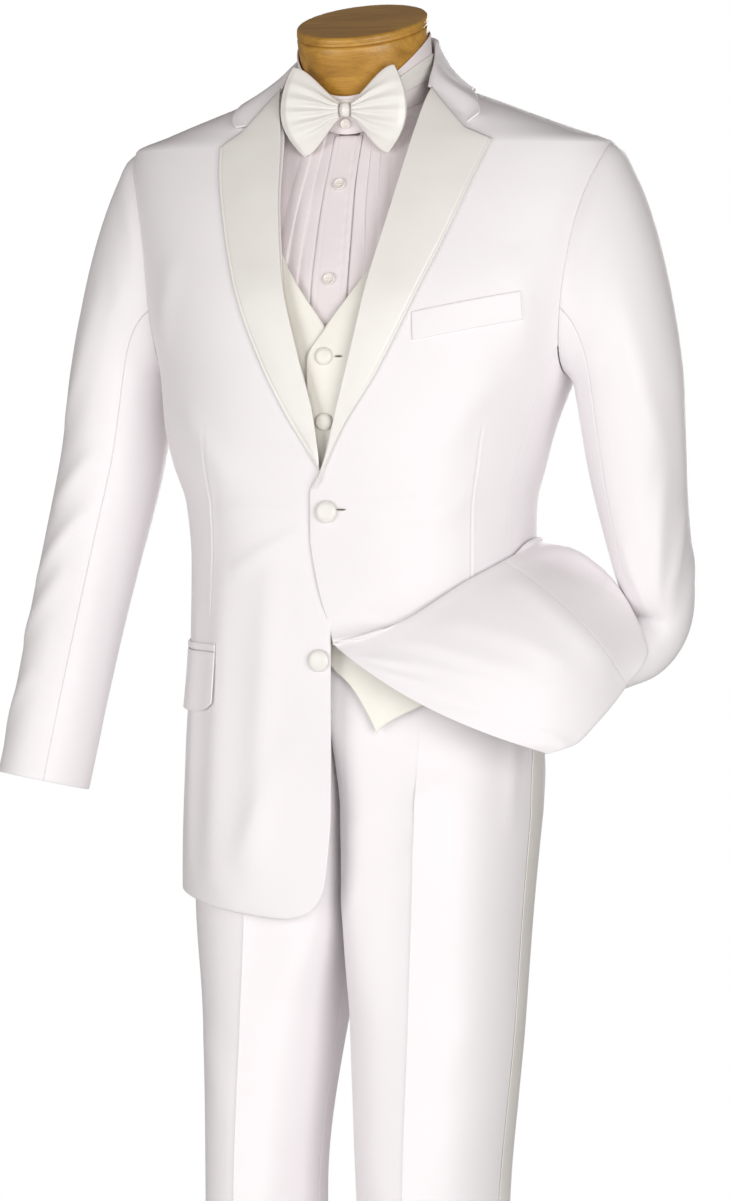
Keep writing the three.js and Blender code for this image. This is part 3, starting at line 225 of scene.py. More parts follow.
def unit(vector):
    """The vector or vectors at length 1."""
    return vector / np.maximum(np.linalg.norm(vector, axis=-1, keepdims=True), 1e-9)


def section_point(cut, turn, z):
    """The point at turn degrees from the front centre towards the wearer's left, on the superellipse whose
    half widths and depths the cut's table gives at height z."""
    sin, cos = np.sin(np.radians(turn)), np.cos(np.radians(turn))
    across = np.where(sin < 0, -read(cut, z, "right"), read(cut, z, "left")) * np.abs(sin) ** (2 / SQUARENESS)
    along = np.where(cos > 0, -read(cut, z, "front"), read(cut, z, "back")) * np.abs(cos) ** (2 / SQUARENESS)
    return np.stack(np.broadcast_arrays(across, along, z), -1)


def on_body(cut, turn, z, out=0.0):
    """A section's point, moved out along the surface's normal."""
    turn, z, out = np.broadcast_arrays(turn, z, out)
    sideways = section_point(cut, turn + 0.4, z) - section_point(cut, turn - 0.4, z)
    above, below = np.minimum(z + 1, cut["z"][-1]), np.maximum(z - 1, cut["z"][0])
    normal = unit(np.cross(sideways, section_point(cut, turn, above) - section_point(cut, turn, below)))
    return section_point(cut, turn, z) + out[..., None] * normal


def turn_at(cut, x, z):
    """The turn at which the section at height z is x across."""
    half = np.where(x < 0, read(cut, z, "right"), read(cut, z, "left"))
    return np.sign(x) * np.degrees(np.arcsin(np.minimum(1, np.abs(x) / half) ** (SQUARENESS / 2)))


FORM = table(
    "z right left front back",
    (890, 146, 146, 98, 101),
    (960, 142, 142, 98, 95),
    (1050, 134, 134, 98, 89),
    (1110, 139, 139, 105, 92),
    (1170, 154, 154, 113, 103),
    (1225, 170, 170, 115, 110),
    (1290, 189, 189, 110, 112),
    (1340, 200, 200, 98, 108),
    (1390, 206, 206, 82, 99),
    (1418, 206, 206, 69, 89),
    (1436, 186, 186, 60, 80),
    (1453, 134, 134, 52, 66),
    (1463, 98, 98, 49, 56),
    (1470, 74, 74, 48, 50),
)
FORM_BOTTOM, FORM_TOP = 912, 1468


def lidded(rings, share=0.985):
    """Closes a stack of rings: each end gets a ring just inside its edge and a point in the middle."""
    low, high = rings[0].mean(0, keepdims=True), rings[-1].mean(0, keepdims=True)
    foot = np.stack([low + 0 * rings[0], mix(low, rings[0], share)])
    crown = np.stack([mix(high, rings[-1], share), high + 0 * rings[-1]])
    return np.concatenate([foot, rings, crown])


turns, heights = np.meshgrid(np.linspace(-180, 180, 121), np.linspace(FORM_BOTTOM, FORM_TOP - 2, 90))
torso = on_body(FORM, turns, heights, mix(-4, 2, ease(88, 108, np.abs(turns))))
torso[:, -1] = torso[:, 0]
jersey, tree, shader, where = clouded("form jersey", (0.64, 0.58, 0.49), (0.72, 0.67, 0.58), 6.0, Roughness=0.9)
knit = node(tree, "TexWave", {"Vector": where.outputs["UV"], "Scale": 400.0, "Distortion": 1.0})
relief(tree, shader, knit.outputs["Fac"], 0.3, 0.0003)
torso = lidded(torso)
join("torso_jersey", [(torso, flat_lengths(torso))], jersey, "form_cloth", "form_torso")

# The neck block: light varnished wood, turned oval, with a separate tilted cap over a fine groove.
# Both are ovals carried up a profile of rows, and the grain runs across the cap's top.
NECK_TILT = 20
CAP_Y, CAP_Z, CAP_WIDE, CAP_DEEP = -24, 1556, 62, 58


def neck_rings(rows):
    """Ovals from rows of share (0 at the torso, 1 at the tilted cap), lift and inset. Each ring shrinks by
    its inset, moves back by a share of the cap's place and tilts by a share of the cap's tilt."""
    share, lift, inset = (column[:, None] for column in np.array(rows, float).T)
    angle = np.linspace(0, 2 * np.pi, 97)
    x = (CAP_WIDE - inset) * np.sin(angle)
    y = -(CAP_DEEP - inset * CAP_DEEP / CAP_WIDE) * np.cos(angle)
    z = mix(FORM_TOP + 0.3, CAP_Z + y * np.tan(np.radians(NECK_TILT)) + lift, share)
    rings = np.stack([x, y + mix(-5, CAP_Y, share), z], -1)
    rings[:, -1] = rings[:, 0]
    return rings


wood, tree, shader = finish("varnished wood", Roughness=0.42, Coat_Weight=0.25, Coat_Roughness=0.3)
where = node(tree, "TexCoord", {})
turned_wood = {"Vector": where.outputs["Object"], "Rotation": (0.3, 0.2, 0.5)}
grained = node(tree, "Mapping", {**turned_wood, "Scale": (5, 46, 60)})
ringed = {"Vector": grained.outputs[0], "Scale": 1.4, "Detail": 5.0, "Distortion": 0.5}
rings_noise = node(tree, "TexNoise", ringed)
fine = node(tree, "Mapping", {**turned_wood, "Scale": (40, 600, 700)})
pores = node(tree, "TexNoise", {"Vector": fine.outputs[0], "Scale": 1.0, "Detail": 3.0})
streak = node(tree, "ValToRGB", {"Fac": rings_noise.outputs["Fac"]})
streak.color_ramp.elements[0].position, streak.color_ramp.elements[1].position = 0.3, 0.7
streak.color_ramp.elements[0].color = (0.4, 0.19, 0.024, 1)
streak.color_ramp.elements[1].color = (0.64, 0.34, 0.055, 1)
levels = {"From Min": 0.3, "From Max": 0.6, "To Min": 0.8, "To Max": 1}
dotted = node(tree, "MapRange", {"Value": pores.outputs["Fac"], **levels})
layers = {"Factor": 1.0, "A": streak.outputs[0], "B": dotted.outputs[0]}
darkened = node(tree, "Mix", layers, data_type="RGBA", blend_type="MULTIPLY")
tree.links.new(darkened.outputs["Result"], shader.inputs["Base Color"])
relief(tree, shader, pores.outputs["Fac"], 0.12, 0.0003)

block_rows = [(0, 60), (0, 8), (0, 6), (0.1, 5), (0.3, 3.6), (0.5, 2.4), (0.7, 1.3), (0.85, 0.5), (0.97, 0.1)]
block_rows = [(share, -9.5, inset) for share, inset in block_rows + [(1, 0.8), (1, 60)]]
cap_rows = [(-9, 60), (-9, 3), (-9, 1.4), (-8.2, 0.3), (-7, 0), (-5.4, 0), (-5, 0.5), (-4.6, 0), (-2.4, 0)]
cap_rows += [(-1.2, 0.3), (-0.4, 1.1), (-0.1, 2.2), (0, 4), (0, 30), (0, 60)]
cap_rows = [(1, lift, inset) for lift, inset in cap_rows]
for name, rows in (("neck_block", block_rows), ("neck_cap", cap_rows)):
    rings = lidded(neck_rings(rows))
    join(name, [(rings, flat_lengths(rings))], wood, "form_wood", "form_" + name)

# The dress shirt: cotton fronts with three sewn tucks on each side, a placket with a puckered seam, a back
# and a standing collar band. Each is a wall of cloth over the torso.
SHIRT_OUT, SHIRT_WALL, BAND_WALL, SHIRT_BOTTOM = 4, 1.2, 1.6, 960
PLACKET_HALF, TUCK_PITCH, TUCKS, TUCK_HEIGHT, TUCKED_SHARE = 17, 13.5, 3, 2, 0.4


def facing(grid, closed=False):
    """Each grid point's outward normal, from the points beside it."""
    across = np.gradient(grid, axis=1)
    if closed:
        across[:, [0, -1]] = (grid[:, 1] - grid[:, -2])[:, None]
    return unit(np.cross(across, np.gradient(grid, axis=0)))


def edged(low, high, count, near):
    """count even steps from low to high, with two more close to each end, for the edge's rounding."""
    inner = np.linspace(low + near, high - near, count)
    return np.concatenate([[low, low + near * 0.35], inner, [high - near * 0.35, high]])


def wall(outer, thick, closed=False, hems=0.36, sides=0.06):
    """Patches of a closed shell of cloth: the outer face, the inner face thick behind it along the normals,
    and a rim round the free edges. Both faces close in by a share at an edge, and by less at the next row."""
    rows, columns = outer.shape[:2]
    near_edge = lambda n, share: np.concatenate([[share, share * 0.3], np.zeros(n - 4), [share * 0.3, share]])
    drop = np.maximum(near_edge(rows, hems)[:, None], 0 if closed else near_edge(columns, sides)[None])
    drop = drop[..., None] * thick
    normal = facing(outer, closed)
    inner = outer - normal * (thick - drop)
    outer = outer - normal * drop
    uv = flat_lengths(outer)
    patches = [(outer, uv), (inner[:, ::-1], uv[:, ::-1])]
    for axis, end in ((0, 0), (0, -1)) if closed else ((0, 0), (0, -1), (1, 0), (1, -1)):
        edges = [np.take(face, end, axis) for face in ((inner, outer) if end == 0 else (outer, inner))]
        patches.append((np.stack(edges, axis), np.stack([np.take(uv, end, axis)] * 2, axis)))
    return patches


def folds(a, b, rows):
    """The height of soft folds at places (a, b), in millimetres on the cloth. Each row is a straight fold
    from (a0, b0) to (a1, b1), a Gaussian across its width that fades towards both ends; negative ones are
    troughs."""
    height = np.zeros(np.broadcast(a, b).shape)
    for a0, b0, a1, b1, width, tall in rows:
        length = np.hypot(a1 - a0, b1 - b0)
        along = np.clip(((a - a0) * (a1 - a0) + (b - b0) * (b1 - b0)) / length**2, 0, 1)
        away = np.hypot(a - mix(a0, a1, along), b - mix(b0, b1, along))
        height += tall * np.exp(-((away / width) ** 2)) * (4 * along * (1 - along)) ** 0.6
    return height


def ripple(points, tall, size):
    """A gentle unevenness: four crossed sine waves through the points, each of about the given size."""
    wave = 0
    for k in range(4):
        heading = np.array([np.sin(1.3 + 2.1 * k), np.cos(0.7 + 1.7 * k), 0.6 * np.sin(2.9 * k)])
        wave = wave + np.sin(points @ heading * (2 * np.pi / (size * (0.8 + 0.25 * k))) + 1.9 * k)
    return tall * wave / 2


def raised(grid, height, closed=False):
    """The grid moved along its normals by a height for each point."""
    return grid + facing(grid, closed) * height[..., None]


def sewn(name, outer, rests_on, made_for, thick, surface, slot, held="draped", **edges):
    """A panel of cloth: its wall, joined as a piece."""
    piece = join(name, wall(outer, thick, **edges), surface, slot, made_for)


# The weave that all the cloths share: slanting or square threads, and slow changes of tone
weave, entry, leave = shader_group(
    "weave", {"Height": "NodeSocketFloat", "Color": "NodeSocketColor"}, Threads=1200.0, Slant=1.0, Cloud=7.0,
    Light=(1, 1, 1, 1), Shade=(0.9, 0.9, 0.9, 1))
split = node(weave, "SeparateXYZ", {"Vector": entry.outputs["Vector"]})


def math(operation, *values):
    """A Math node in the weave: its result from numbers or sockets in order."""
    return node(weave, "Math", dict(enumerate(values)), operation=operation).outputs[0]


slanted = math("MULTIPLY_ADD", split.outputs["Y"], entry.outputs["Slant"], split.outputs["X"])
twill = math("SINE", math("MULTIPLY", slanted, entry.outputs["Threads"]))
crossing = math("SINE", math("MULTIPLY", split.outputs["Y"], entry.outputs["Threads"]))
slub = node(weave, "TexNoise", {"Vector": entry.outputs["Vector"], "Scale": 260.0, "Detail": 3.0})
uneven = math("MULTIPLY_ADD", slub.outputs["Fac"], 1.2, math("MULTIPLY_ADD", crossing, 0.4, twill))
spread = {"Vector": entry.outputs["Vector"], "Scale": entry.outputs["Cloud"], "Detail": 2.0}
clouds = node(weave, "TexNoise", spread)
softened = node(weave, "MapRange", {"Value": clouds.outputs["Fac"], "From Min": 0.35, "From Max": 0.65})
tones = {"Factor": softened.outputs[0], "A": entry.outputs["Light"], "B": entry.outputs["Shade"]}
tinted = node(weave, "Mix", tones, data_type="RGBA")
weave.links.new(uneven, leave.inputs["Height"])
weave.links.new(tinted.outputs["Result"], leave.inputs["Color"])


def woven(name, light, shade, threads, slant, depth, cloud, **sockets):
    """A cloth: the weave group on the piece's own flat UV feeds its colour and a fine bump."""
    made, tree, shader = finish(name, **sockets)
    where = node(tree, "TexCoord", {})
    values = {"Threads": threads, "Slant": slant, "Cloud": cloud, "Light": (*light, 1), "Shade": (*shade, 1)}
    group = node(tree, "Group", {"Vector": where.outputs["UV"], **values}, node_tree=weave)
    tree.links.new(group.outputs["Color"], shader.inputs["Base Color"])
    relief(tree, shader, group.outputs["Height"], depth)
    return made


cotton = woven("shirt cotton", (0.88, 0.81, 0.82), (0.84, 0.765, 0.775), 5200, 0.0, 0.25, 12.0,
               Roughness=0.82, Sheen_Weight=0.15, Sheen_Roughness=0.5)
shirt_piece = partial(sewn, thick=SHIRT_WALL, surface=cotton, slot="shirt_cotton")
bottom_rows = [SHIRT_BOTTOM, SHIRT_BOTTOM + 0.9]
shirt_rows = np.concatenate([bottom_rows, np.linspace(SHIRT_BOTTOM + 2.5, 1460, 118), [1461.2, 1462]])


def collar_band(turn, rise):
    """The band round the neck at turn and rise (0 at its seam, 1 at its top), a circle that leans forward
    with height. Both edges dip at the throat."""
    front = (1 + np.cos(np.radians(turn))) / 2
    z = mix(mix(1480, 1447, front**5), mix(1550, 1482, front**2.4), rise)
    lean = mix(-5, -19, (z - 1447) / 82)
    round_neck = 63 + rise
    x, y = round_neck * np.sin(np.radians(turn)), lean - (round_neck - 2) * np.cos(np.radians(turn))
    return np.stack(np.broadcast_arrays(x, y, z), -1)


def necked(grid, turn):
    """Carries a panel's upper edge on, in eight rows, to the band's seam at the same turns."""
    share = ease(0, 1, np.linspace(0, 1, 9)[1:, None, None])
    return np.concatenate([grid, mix(grid[-1:], collar_band(turn, 0.04) - [0, 0, 0.5], share)])


def shirt_front(side):
    """A front from the placket (u 0) to the side seam (u 1). Its first 40% holds the tucks, each highest at
    the fold nearer the placket and falling to the next."""
    tuck_us = [np.array([0, 0.04, 0.08, 0.16, 0.3, 0.45, 0.6, 0.75, 0.86, 0.93]) + k for k in range(TUCKS)]
    tucked = np.concatenate(tuck_us) / TUCKS * TUCKED_SHARE
    u = np.concatenate([[-0.04, -0.02], tucked, edged(TUCKED_SHARE, 1, 26, 0.01)])
    u, z = np.meshgrid(u if side > 0 else u[::-1], shirt_rows)
    narrow = ease(1300, 1466, z)
    tucks = np.clip(u / TUCKED_SHARE, -0.1, 1)
    x = (PLACKET_HALF + 1 + tucks * TUCK_PITCH * TUCKS) * mix(1, 0.72, narrow)
    within = np.clip(tucks * TUCKS, 0, TUCKS - 1e-6) % 1
    fold = (1 - within) * ease(0, 0.08, within) + 0.35 * np.sin(np.pi * within)
    lift = np.where(u < TUCKED_SHARE, TUCK_HEIGHT * fold, 0) * ease(1080, 1160, z) * (1 - 0.6 * narrow)
    beyond = mix(turn_at(FORM, x, z), 89.82, (u - TUCKED_SHARE) / (1 - TUCKED_SHARE))
    turn = np.where(u < TUCKED_SHARE, turn_at(FORM, x, z), beyond)
    slack = 0.5 * np.sin(z / 13 + 3 * np.floor(tucks * TUCKS)) * (1 - within) * (u < TUCKED_SHARE)
    out = SHIRT_OUT + lift + slack * ease(1160, 1220, z)
    return necked(on_body(FORM, side * turn, z, out), side * turn[-1])


for label, side in (("right", -1), ("left", 1)):
    shirt_piece(f"shirt_{label}_front", shirt_front(side), ["torso_jersey"], f"shirt_front_{label}")
turns, heights = np.meshgrid(edged(90.2, 269.8, 80, 0.9), shirt_rows)
shirt_back = on_body(FORM, turns, heights, SHIRT_OUT)
shirt_back = necked(raised(shirt_back, ripple(shirt_back, 0.6, 120)), turns[-1])
shirt_piece("shirt_yoked_back", shirt_back, ["torso_jersey"], "shirt_back")

# The placket is stitched down near both edges, and small puckers run across its left seam
placket_rows = np.concatenate([bottom_rows, np.linspace(SHIRT_BOTTOM + 2.5, 1441, 150), [1443, 1444]])
u, z = np.meshgrid(edged(-1, 1, 24, 0.08), placket_rows)
across = u * PLACKET_HALF * mix(1, 0.8, ease(1300, 1444, z))
seam = np.exp(-(((u - 0.62) * PLACKET_HALF / 1.1) ** 2)) + np.exp(-(((u + 0.72) * PLACKET_HALF / 0.9) ** 2))
pucker = np.sin(z / 2.1) * np.exp(-(((u - 0.62) * PLACKET_HALF / 5) ** 2))
soft = 0.35 * np.sin(z / 17 + u) * (1 - u**2)
out = SHIRT_OUT + 2.4 - 0.45 * seam + 0.3 * pucker + soft - 0.7 * ease(0.84, 1, np.abs(u))
placket = on_body(FORM, turn_at(FORM, across, z), z, out)
shirt_piece("shirt_front_placket", placket, ["shirt_left_front"], "shirt_placket")

turns, rises = np.meshgrid(edged(-178, 178, 140, 1.2), edged(0, 1, 22, 0.05))
band = collar_band(turns, rises)
pressed = 0.5 * np.sin(np.radians(turns) * 5) * np.sin(np.pi * rises)
pressed = pressed - 0.3 * np.exp(-(((rises - 0.9) / 0.035) ** 2))
shirt_piece("shirt_neck_band", raised(band, pressed), ["neck_block"], "shirt_collar_band", held="folded",
            thick=BAND_WALL)

# Shirt buttons: small four-hole discs of pearly resin with a turned rim
pearl = clouded("button pearl", (0.78, 0.7, 0.62), (0.9, 0.86, 0.84), 220.0, Roughness=0.22, Coat_Weight=0.4,
                Coat_Roughness=0.1)[0]
# The holes' distance from the middle and their half width, as shares of the button's radius
HOLE_RING, HOLE_HALF = 0.28, 0.11


def disc_button(name, foot, ahead, radius, height, made_for):
    """A button with a raised rim, a dished middle and four holes sunk into it."""
    profile = [(0, 0), (0.86, 0), (0.97, 0.2), (1, 0.5), (0.97, 0.8), (0.88, 1), (0.78, 1), (0.68, 0.74)]
    profile += [(0.6, 0.62)] + [(s, 0.6) for s in (0.5, 0.4, 0.3, 0.2, 0.1, 0.0)]
    grid, uv = turned([(r * radius, h * height) for r, h in profile], 48, foot, ahead)
    ring = np.arange(49) * 2 * np.pi / 48
    ratio = np.array([r for r, _ in profile])[:, None]
    for k in range(4):
        corner = np.pi / 4 + k * np.pi / 2
        hole_x, hole_y = HOLE_RING * np.cos(corner), HOLE_RING * np.sin(corner)
        apart = np.hypot(ratio * np.cos(ring) - hole_x, ratio * np.sin(ring) - hole_y)
        sunk = np.exp(-((apart / HOLE_HALF) ** 2)) * (np.arange(len(profile)) > 8)[:, None]
        grid = grid - sunk[..., None] * unit(np.array(ahead, float)) * height * 0.5
    join(name, [(grid, uv)], pearl, "shirt_button", made_for)


throat, ahead = collar_band(np.array(0.0), np.array(0.28)) + [0, -1, 0], (0, -1, 0.1)
disc_button("band_button", throat, ahead, 5, 2.4, "shirt_button_1")
for number, z in ((2, 1397.0), (3, 1310.0)):
    foot, further = (on_body(FORM, 0.0, z, SHIRT_OUT + out) for out in (2.9, 3.9))
    disc_button(f"placket_button_{number}", foot, further - foot, 6, 2.6, f"shirt_button_{number}")

# The waistcoat: ivory satin fronts that cross in a low V and end in two points, a plain satin back and five
# covered buttons. The left front laps over the right one.
WAISTCOAT_WALL = 1.8
WAISTCOAT_EDGE = table(
    "z x",
    (893, 46), (913, 37), (938, 22), (951, 8), (975, -12), (1000, -16), (1236, -17), (1264, -1), (1331, 46),
    (1400, 72), (1452, 86),
)


def waistcoat_out(z):
    """How far the waistcoat stands off the form: over the shirt, and lower down over the trousers too."""
    return 12.8 + 5.7 * (1 - ease(1040, 1110, z)) + 8 * (1 - ease(900, 1010, z))


WAISTCOAT_FOLDS = [
    (20, 1230, 120, 1190, 9, 1.3),
    (18, 1175, 130, 1150, 8, 1.1),
    (20, 1120, 110, 1090, 10, 1.0),
    (15, 1060, 120, 1010, 12, 1.2),
    (50, 1290, 150, 1230, 12, 1.2),
    (30, 960, 110, 990, 12, 1.3),
]


def waistcoat_front(side, layer):
    """A front from its edge (u 0) to the side seam (u 1), and from its point (v 0) to the shoulder."""
    v = np.concatenate([[0, 0.0016], edged(0.0045, 1, 150, 0.004)])
    u, v = np.meshgrid(edged(0, 1, 60, 0.013) if side > 0 else edged(0, 1, 60, 0.013)[::-1], v)
    z = mix(893 + 69 * u**0.7, 1452, v)
    x = side * read(WAISTCOAT_EDGE, z, "x") if side > 0 else read(WAISTCOAT_EDGE, z, "x")
    turn = mix(turn_at(FORM, x, z), 89.8 - 30 * ease(1190, 1400, z), u)
    out = waistcoat_out(z) + layer * (1 - ease(1240, 1320, z)) * (1 - ease(0.125, 0.3, u))
    soft = folds(turn * 2.2, z, WAISTCOAT_FOLDS) * ease(0, 0.1, u)
    return on_body(FORM, side * turn, z, out + soft)


satin_look = {"Roughness": 0.34, "Specular_IOR_Level": 0.8}
ivory_satin = woven("ivory satin", (0.89, 0.865, 0.785), (0.85, 0.82, 0.74), 9000, 0.12, 0.12, 16.0,
                    **satin_look)
waistcoat_piece = partial(sewn, thick=WAISTCOAT_WALL, surface=ivory_satin, slot="waistcoat_satin")
for label, side, layer in (("right", -1, -3.2), ("left", 1, 0.0)):
    waistcoat_piece(f"waistcoat_{label}_front", waistcoat_front(side, layer),
                    ["shirt_left_front", "shirt_right_front"], f"waistcoat_front_{label}")
u, z = np.meshgrid(edged(0, 1, 90, 0.007), edged(962, 1452, 120, 2.4))
armhole = 30 * ease(1190, 1400, z)
back = on_body(FORM, mix(90.2 + armhole, 269.8 - armhole, u), z, waistcoat_out(z) - ease(1100, 1200, z))
waistcoat_piece("waistcoat_plain_back", raised(back, ripple(back, 0.5, 110)), ["shirt_yoked_back"],
                "waistcoat_back")


def covered_button(name, foot, ahead, radius, height, surface, slot, made_for):
    """A dome of cloth over a button form: flat back, tucked-in lower edge and a low crown."""
    profile = [(0, 0), (0.62, 0), (0.84, 0.04), (0.95, 0.16), (1, 0.34), (0.98, 0.5), (0.9, 0.7)]
    profile += [(0.76, 0.86), (0.58, 0.95), (0.38, 0.99), (0.18, 1), (0, 1)]
    grid, uv = turned([(r * radius, h * height) for r, h in profile], 56, foot, ahead)
    gathers = 0.25 * np.sin(np.linspace(0, 2 * np.pi, 57) * 14) * (np.arange(len(profile)) == 2)[:, None]
    grid = grid + gathers[..., None] * unit(grid - np.array(foot))
    join(name, [(grid, uv)], surface, slot, made_for)


# Each buttonhole is a worked eyelet beside its button: a rim of thread round a dark slit
slit = clouded("buttonhole shadow", (0.1, 0.085, 0.08), (0.22, 0.19, 0.18), 900.0, Roughness=0.9)[0]


def buttonhole(name, place, long, surface, slot):
    """A slit and its rim of thread on the surface place(x, z), which gives points; both run along x."""
    angle = np.linspace(0, 2 * np.pi, 41)
    tube = np.linspace(0, 2 * np.pi, 13)[:, None]
    reach = 1 + 0.45 / 1.3 * np.cos(tube)
    x, z = (long / 2 * np.cos(angle)) * (1 + 0.9 / long * np.cos(tube)), 1.3 * np.sin(angle) * reach
    rim = place(x, z, 0.35 + 0.5 * np.sin(tube))
    rim[:, -1], rim[-1] = rim[:, 0], rim[0]
    join(name + "_thread", [(rim[::-1], flat_lengths(rim))], surface, slot)
    share = np.array([0, 0.25, 0.5, 0.75, 0.9])[:, None]
    dark = place(long / 2 * share * np.cos(angle), 1.1 * share * np.sin(angle), 0.12 + 0 * share * angle)
    dark[:, -1] = dark[:, 0]
    join(name + "_slit", [(dark, flat_lengths(dark))], slit, slot)


for number, (z, out) in enumerate(((1240, -0.1), (1181, -0.1), (1122, 0.6), (1063, 0.6), (1004, 0.6)), 1):
    out = out + waistcoat_out(z)
    foot, further = (on_body(FORM, 0.0, float(z), out + step) for step in (0, 1))
    covered_button(f"waistcoat_dome_{number}", foot, further - foot, 8.3, 4, ivory_satin, "waistcoat_satin",
                   f"waistcoat_button_{number}")
    lap = lambda x, dz, up: on_body(FORM, turn_at(FORM, 14 + x, z + dz), z + dz, out + up)
    buttonhole(f"waistcoat_hole_{number}", lap, 8, ivory_satin, "waistcoat_satin")

# The trousers: white suiting, a front and a back panel for each leg with a pressed crease down both, an inner
# waistband, and a satin stripe sewn over each outseam. The turn goes from a leg's inseam (-90) through its
# front (0), its outseam (90) and its back (180) to the inseam again.
TROUSER_WALL = 1.6
HEM, CROTCH, SEAT_JOINED, TROUSER_TOP = 46, 815, 905, 1032
CREASE_TALL, CREASE_HALF = 2.6, 14
SEAT = table(
    "z right left front back",
    (800, 164, 166, 117, 118), (869, 163, 168, 117, 118), (930, 157, 161, 113, 113), (1000, 148, 149, 110, 102),
    (1072, 145, 145, 110, 100),
)
LEFT_LEG = table(
    "z x y w d inner outer",
    (40, 78, -22, 60, 80, 2.1, 2.1), (240, 77, -32, 63, 83, 2.1, 2.1), (445, 77, -38, 69, 86, 2.2, 2.1),
    (620, 80.5, -28, 78, 91, 3, 2.1), (723, 82.5, -18, 80.5, 97, 6, 2.1), (815, 84.5, -6, 83, 106, 9, 2.1),
)
RIGHT_LEG = table(
    "z x y w d inner outer",
    (40, -90, -22, 53, 78, 2.1, 2.1), (240, -91, -32, 53, 80, 2.1, 2.1), (445, -92, -38, 53, 82, 2.2, 2.1),
    (620, -86, -28, 65, 90, 2.6, 2.1), (723, -83, -18, 79, 97, 6, 2.1), (815, -84, -6, 82.5, 106, 9, 2.1),
)
# Soft folds on a leg, in millimetres: 1.35 for each degree of turn, and the height
LEG_FOLDS = [
    (82, 905, 84, 800, 7, 2.2),
    (30, 850, -60, 790, 12, 1.8),
    (20, 800, -80, 720, 14, 1.6),
    (60, 640, 20, 560, 20, 1.6),
    (-60, 520, -20, 440, 22, 1.5),
    (90, 420, 40, 330, 20, 1.4),
    (-70, 300, -30, 180, 20, 1.5),
    (80, 170, 40, 80, 18, 1.6),
    (150, 860, 200, 800, 16, 1.8),
    (300, 840, 240, 780, 16, 1.8),
    (170, 560, 230, 470, 24, 1.6),
    (320, 420, 270, 320, 22, 1.5),
    (180, 240, 220, 130, 20, 1.6),
]


def trouser_point(side, leg, turn, z, out=0.0):
    """A leg's section is a superellipse with its own squareness towards the other leg, plus the crease, a
    Gaussian ridge. Above the crotch it blends into half of the seat's section."""
    turn, z = np.broadcast_arrays(turn, z)
    sin, cos = np.sin(np.radians(turn)), np.cos(np.radians(turn))

    def section(at):
        power = np.where(sin < 0, read(leg, at, "inner"), read(leg, at, "outer"))
        scale = (np.abs(sin) ** power + np.abs(cos) ** power) ** (-1 / power)
        return read(leg, at, "w") * sin * scale, read(leg, at, "d") * cos * scale

    low, share = np.minimum(z, CROTCH), ease(CROTCH, SEAT_JOINED, z)
    across, along = section(low)
    pressed = CREASE_TALL * np.exp(-((across / CREASE_HALF) ** 2)) * (1 - 0.55 * share)
    pressed = pressed + 1.8 * np.exp(-np.abs(across) / 2.4) * (1 - share)
    x = read(leg, low, "x") + side * (across + out * sin)
    y = read(leg, low, "y") - along - (pressed + out) * cos
    leg_x = np.abs(read(leg, CROTCH, "x"))
    inner = turn_at(SEAT, np.maximum(leg_x + section(np.full_like(z, CROTCH, float))[0], 0.5), CROTCH)
    from_front = np.minimum(np.abs(turn), np.abs(180 - turn))
    half = np.where(sin < 0, inner, mix(turn_at(SEAT, leg_x, CROTCH), 90, from_front / 90))
    seat = on_body(SEAT, side * np.where(cos > 0, half, 180 - half), z, out + pressed * 0.5)
    return mix(np.stack([x, y, z], -1), seat, share[..., None])


def leg_cloth(side, leg, turns, heights, out=0.0):
    """A panel's grid with its soft folds. The two legs' folds differ by a shift of 25 mm."""
    turn, z = np.meshgrid(turns if side > 0 else turns[::-1], heights)
    soft = folds(turn * 1.35, z + (0 if side > 0 else 25), LEG_FOLDS) * (1 - ease(900, 960, z))
    uneven = ripple(trouser_point(side, leg, turn, z), 0.5, 150) * ease(40, 120, z)
    return trouser_point(side, leg, turn, z, out + (soft + uneven) * (1 - ease(790, 850, z) * (np.sin(np.radians(turn)) < 0)))


suit_cloth = woven("suit cloth", (0.9, 0.865, 0.88), (0.87, 0.835, 0.85), 5600, 0.9, 0.14, 5.0, Roughness=0.5,
                   Specular_IOR_Level=0.6)
white_satin = woven("white satin", (0.86, 0.835, 0.79), (0.82, 0.795, 0.75), 9000, 0.12, 0.12, 14.0, **satin_look)
leg_rows = np.concatenate([[HEM, HEM + 1], np.linspace(HEM + 3, 1028, 120), [1030, TROUSER_TOP]])
near_crease = np.concatenate([np.linspace(-14, -3, 5), np.linspace(-2.1, 2.1, 9), np.linspace(3, 14, 5)])
front_turns = np.concatenate([[-89.97, -88.8], np.linspace(-86, -17, 20), near_crease, np.linspace(17, 86, 20)])
front_turns = np.append(front_turns, [88.8, 89.97])
for label, side, leg in (("right", -1, RIGHT_LEG), ("left", 1, LEFT_LEG)):
    sewn(f"trouser_{label}_front", leg_cloth(side, leg, front_turns, leg_rows), ["torso_jersey"],
         f"trouser_front_{label}", TROUSER_WALL, suit_cloth, "suit_cloth")
    sewn(f"trouser_{label}_back", leg_cloth(side, leg, 180 + front_turns, leg_rows), ["torso_jersey"],
         f"trouser_back_{label}", TROUSER_WALL, suit_cloth, "suit_cloth")
    stripe_rows = np.concatenate([[48, 49], leg_rows[3:]])
    stripe = leg_cloth(side, leg, edged(81, 99, 9, 0.9), stripe_rows, 1.4)
    sewn(f"trouser_{label}_stripe", stripe, [f"trouser_{label}_front"], f"trouser_stripe_{label}", 0.8,
         white_satin, "white_satin")
turns, heights = np.meshgrid(np.linspace(0, 360, 121), edged(TROUSER_TOP + 0.4, 1071, 12, 1))
waistband = on_body(SEAT, np.where(turns > 180, turns - 360, turns), heights)
waistband[:, -1] = waistband[:, 0]
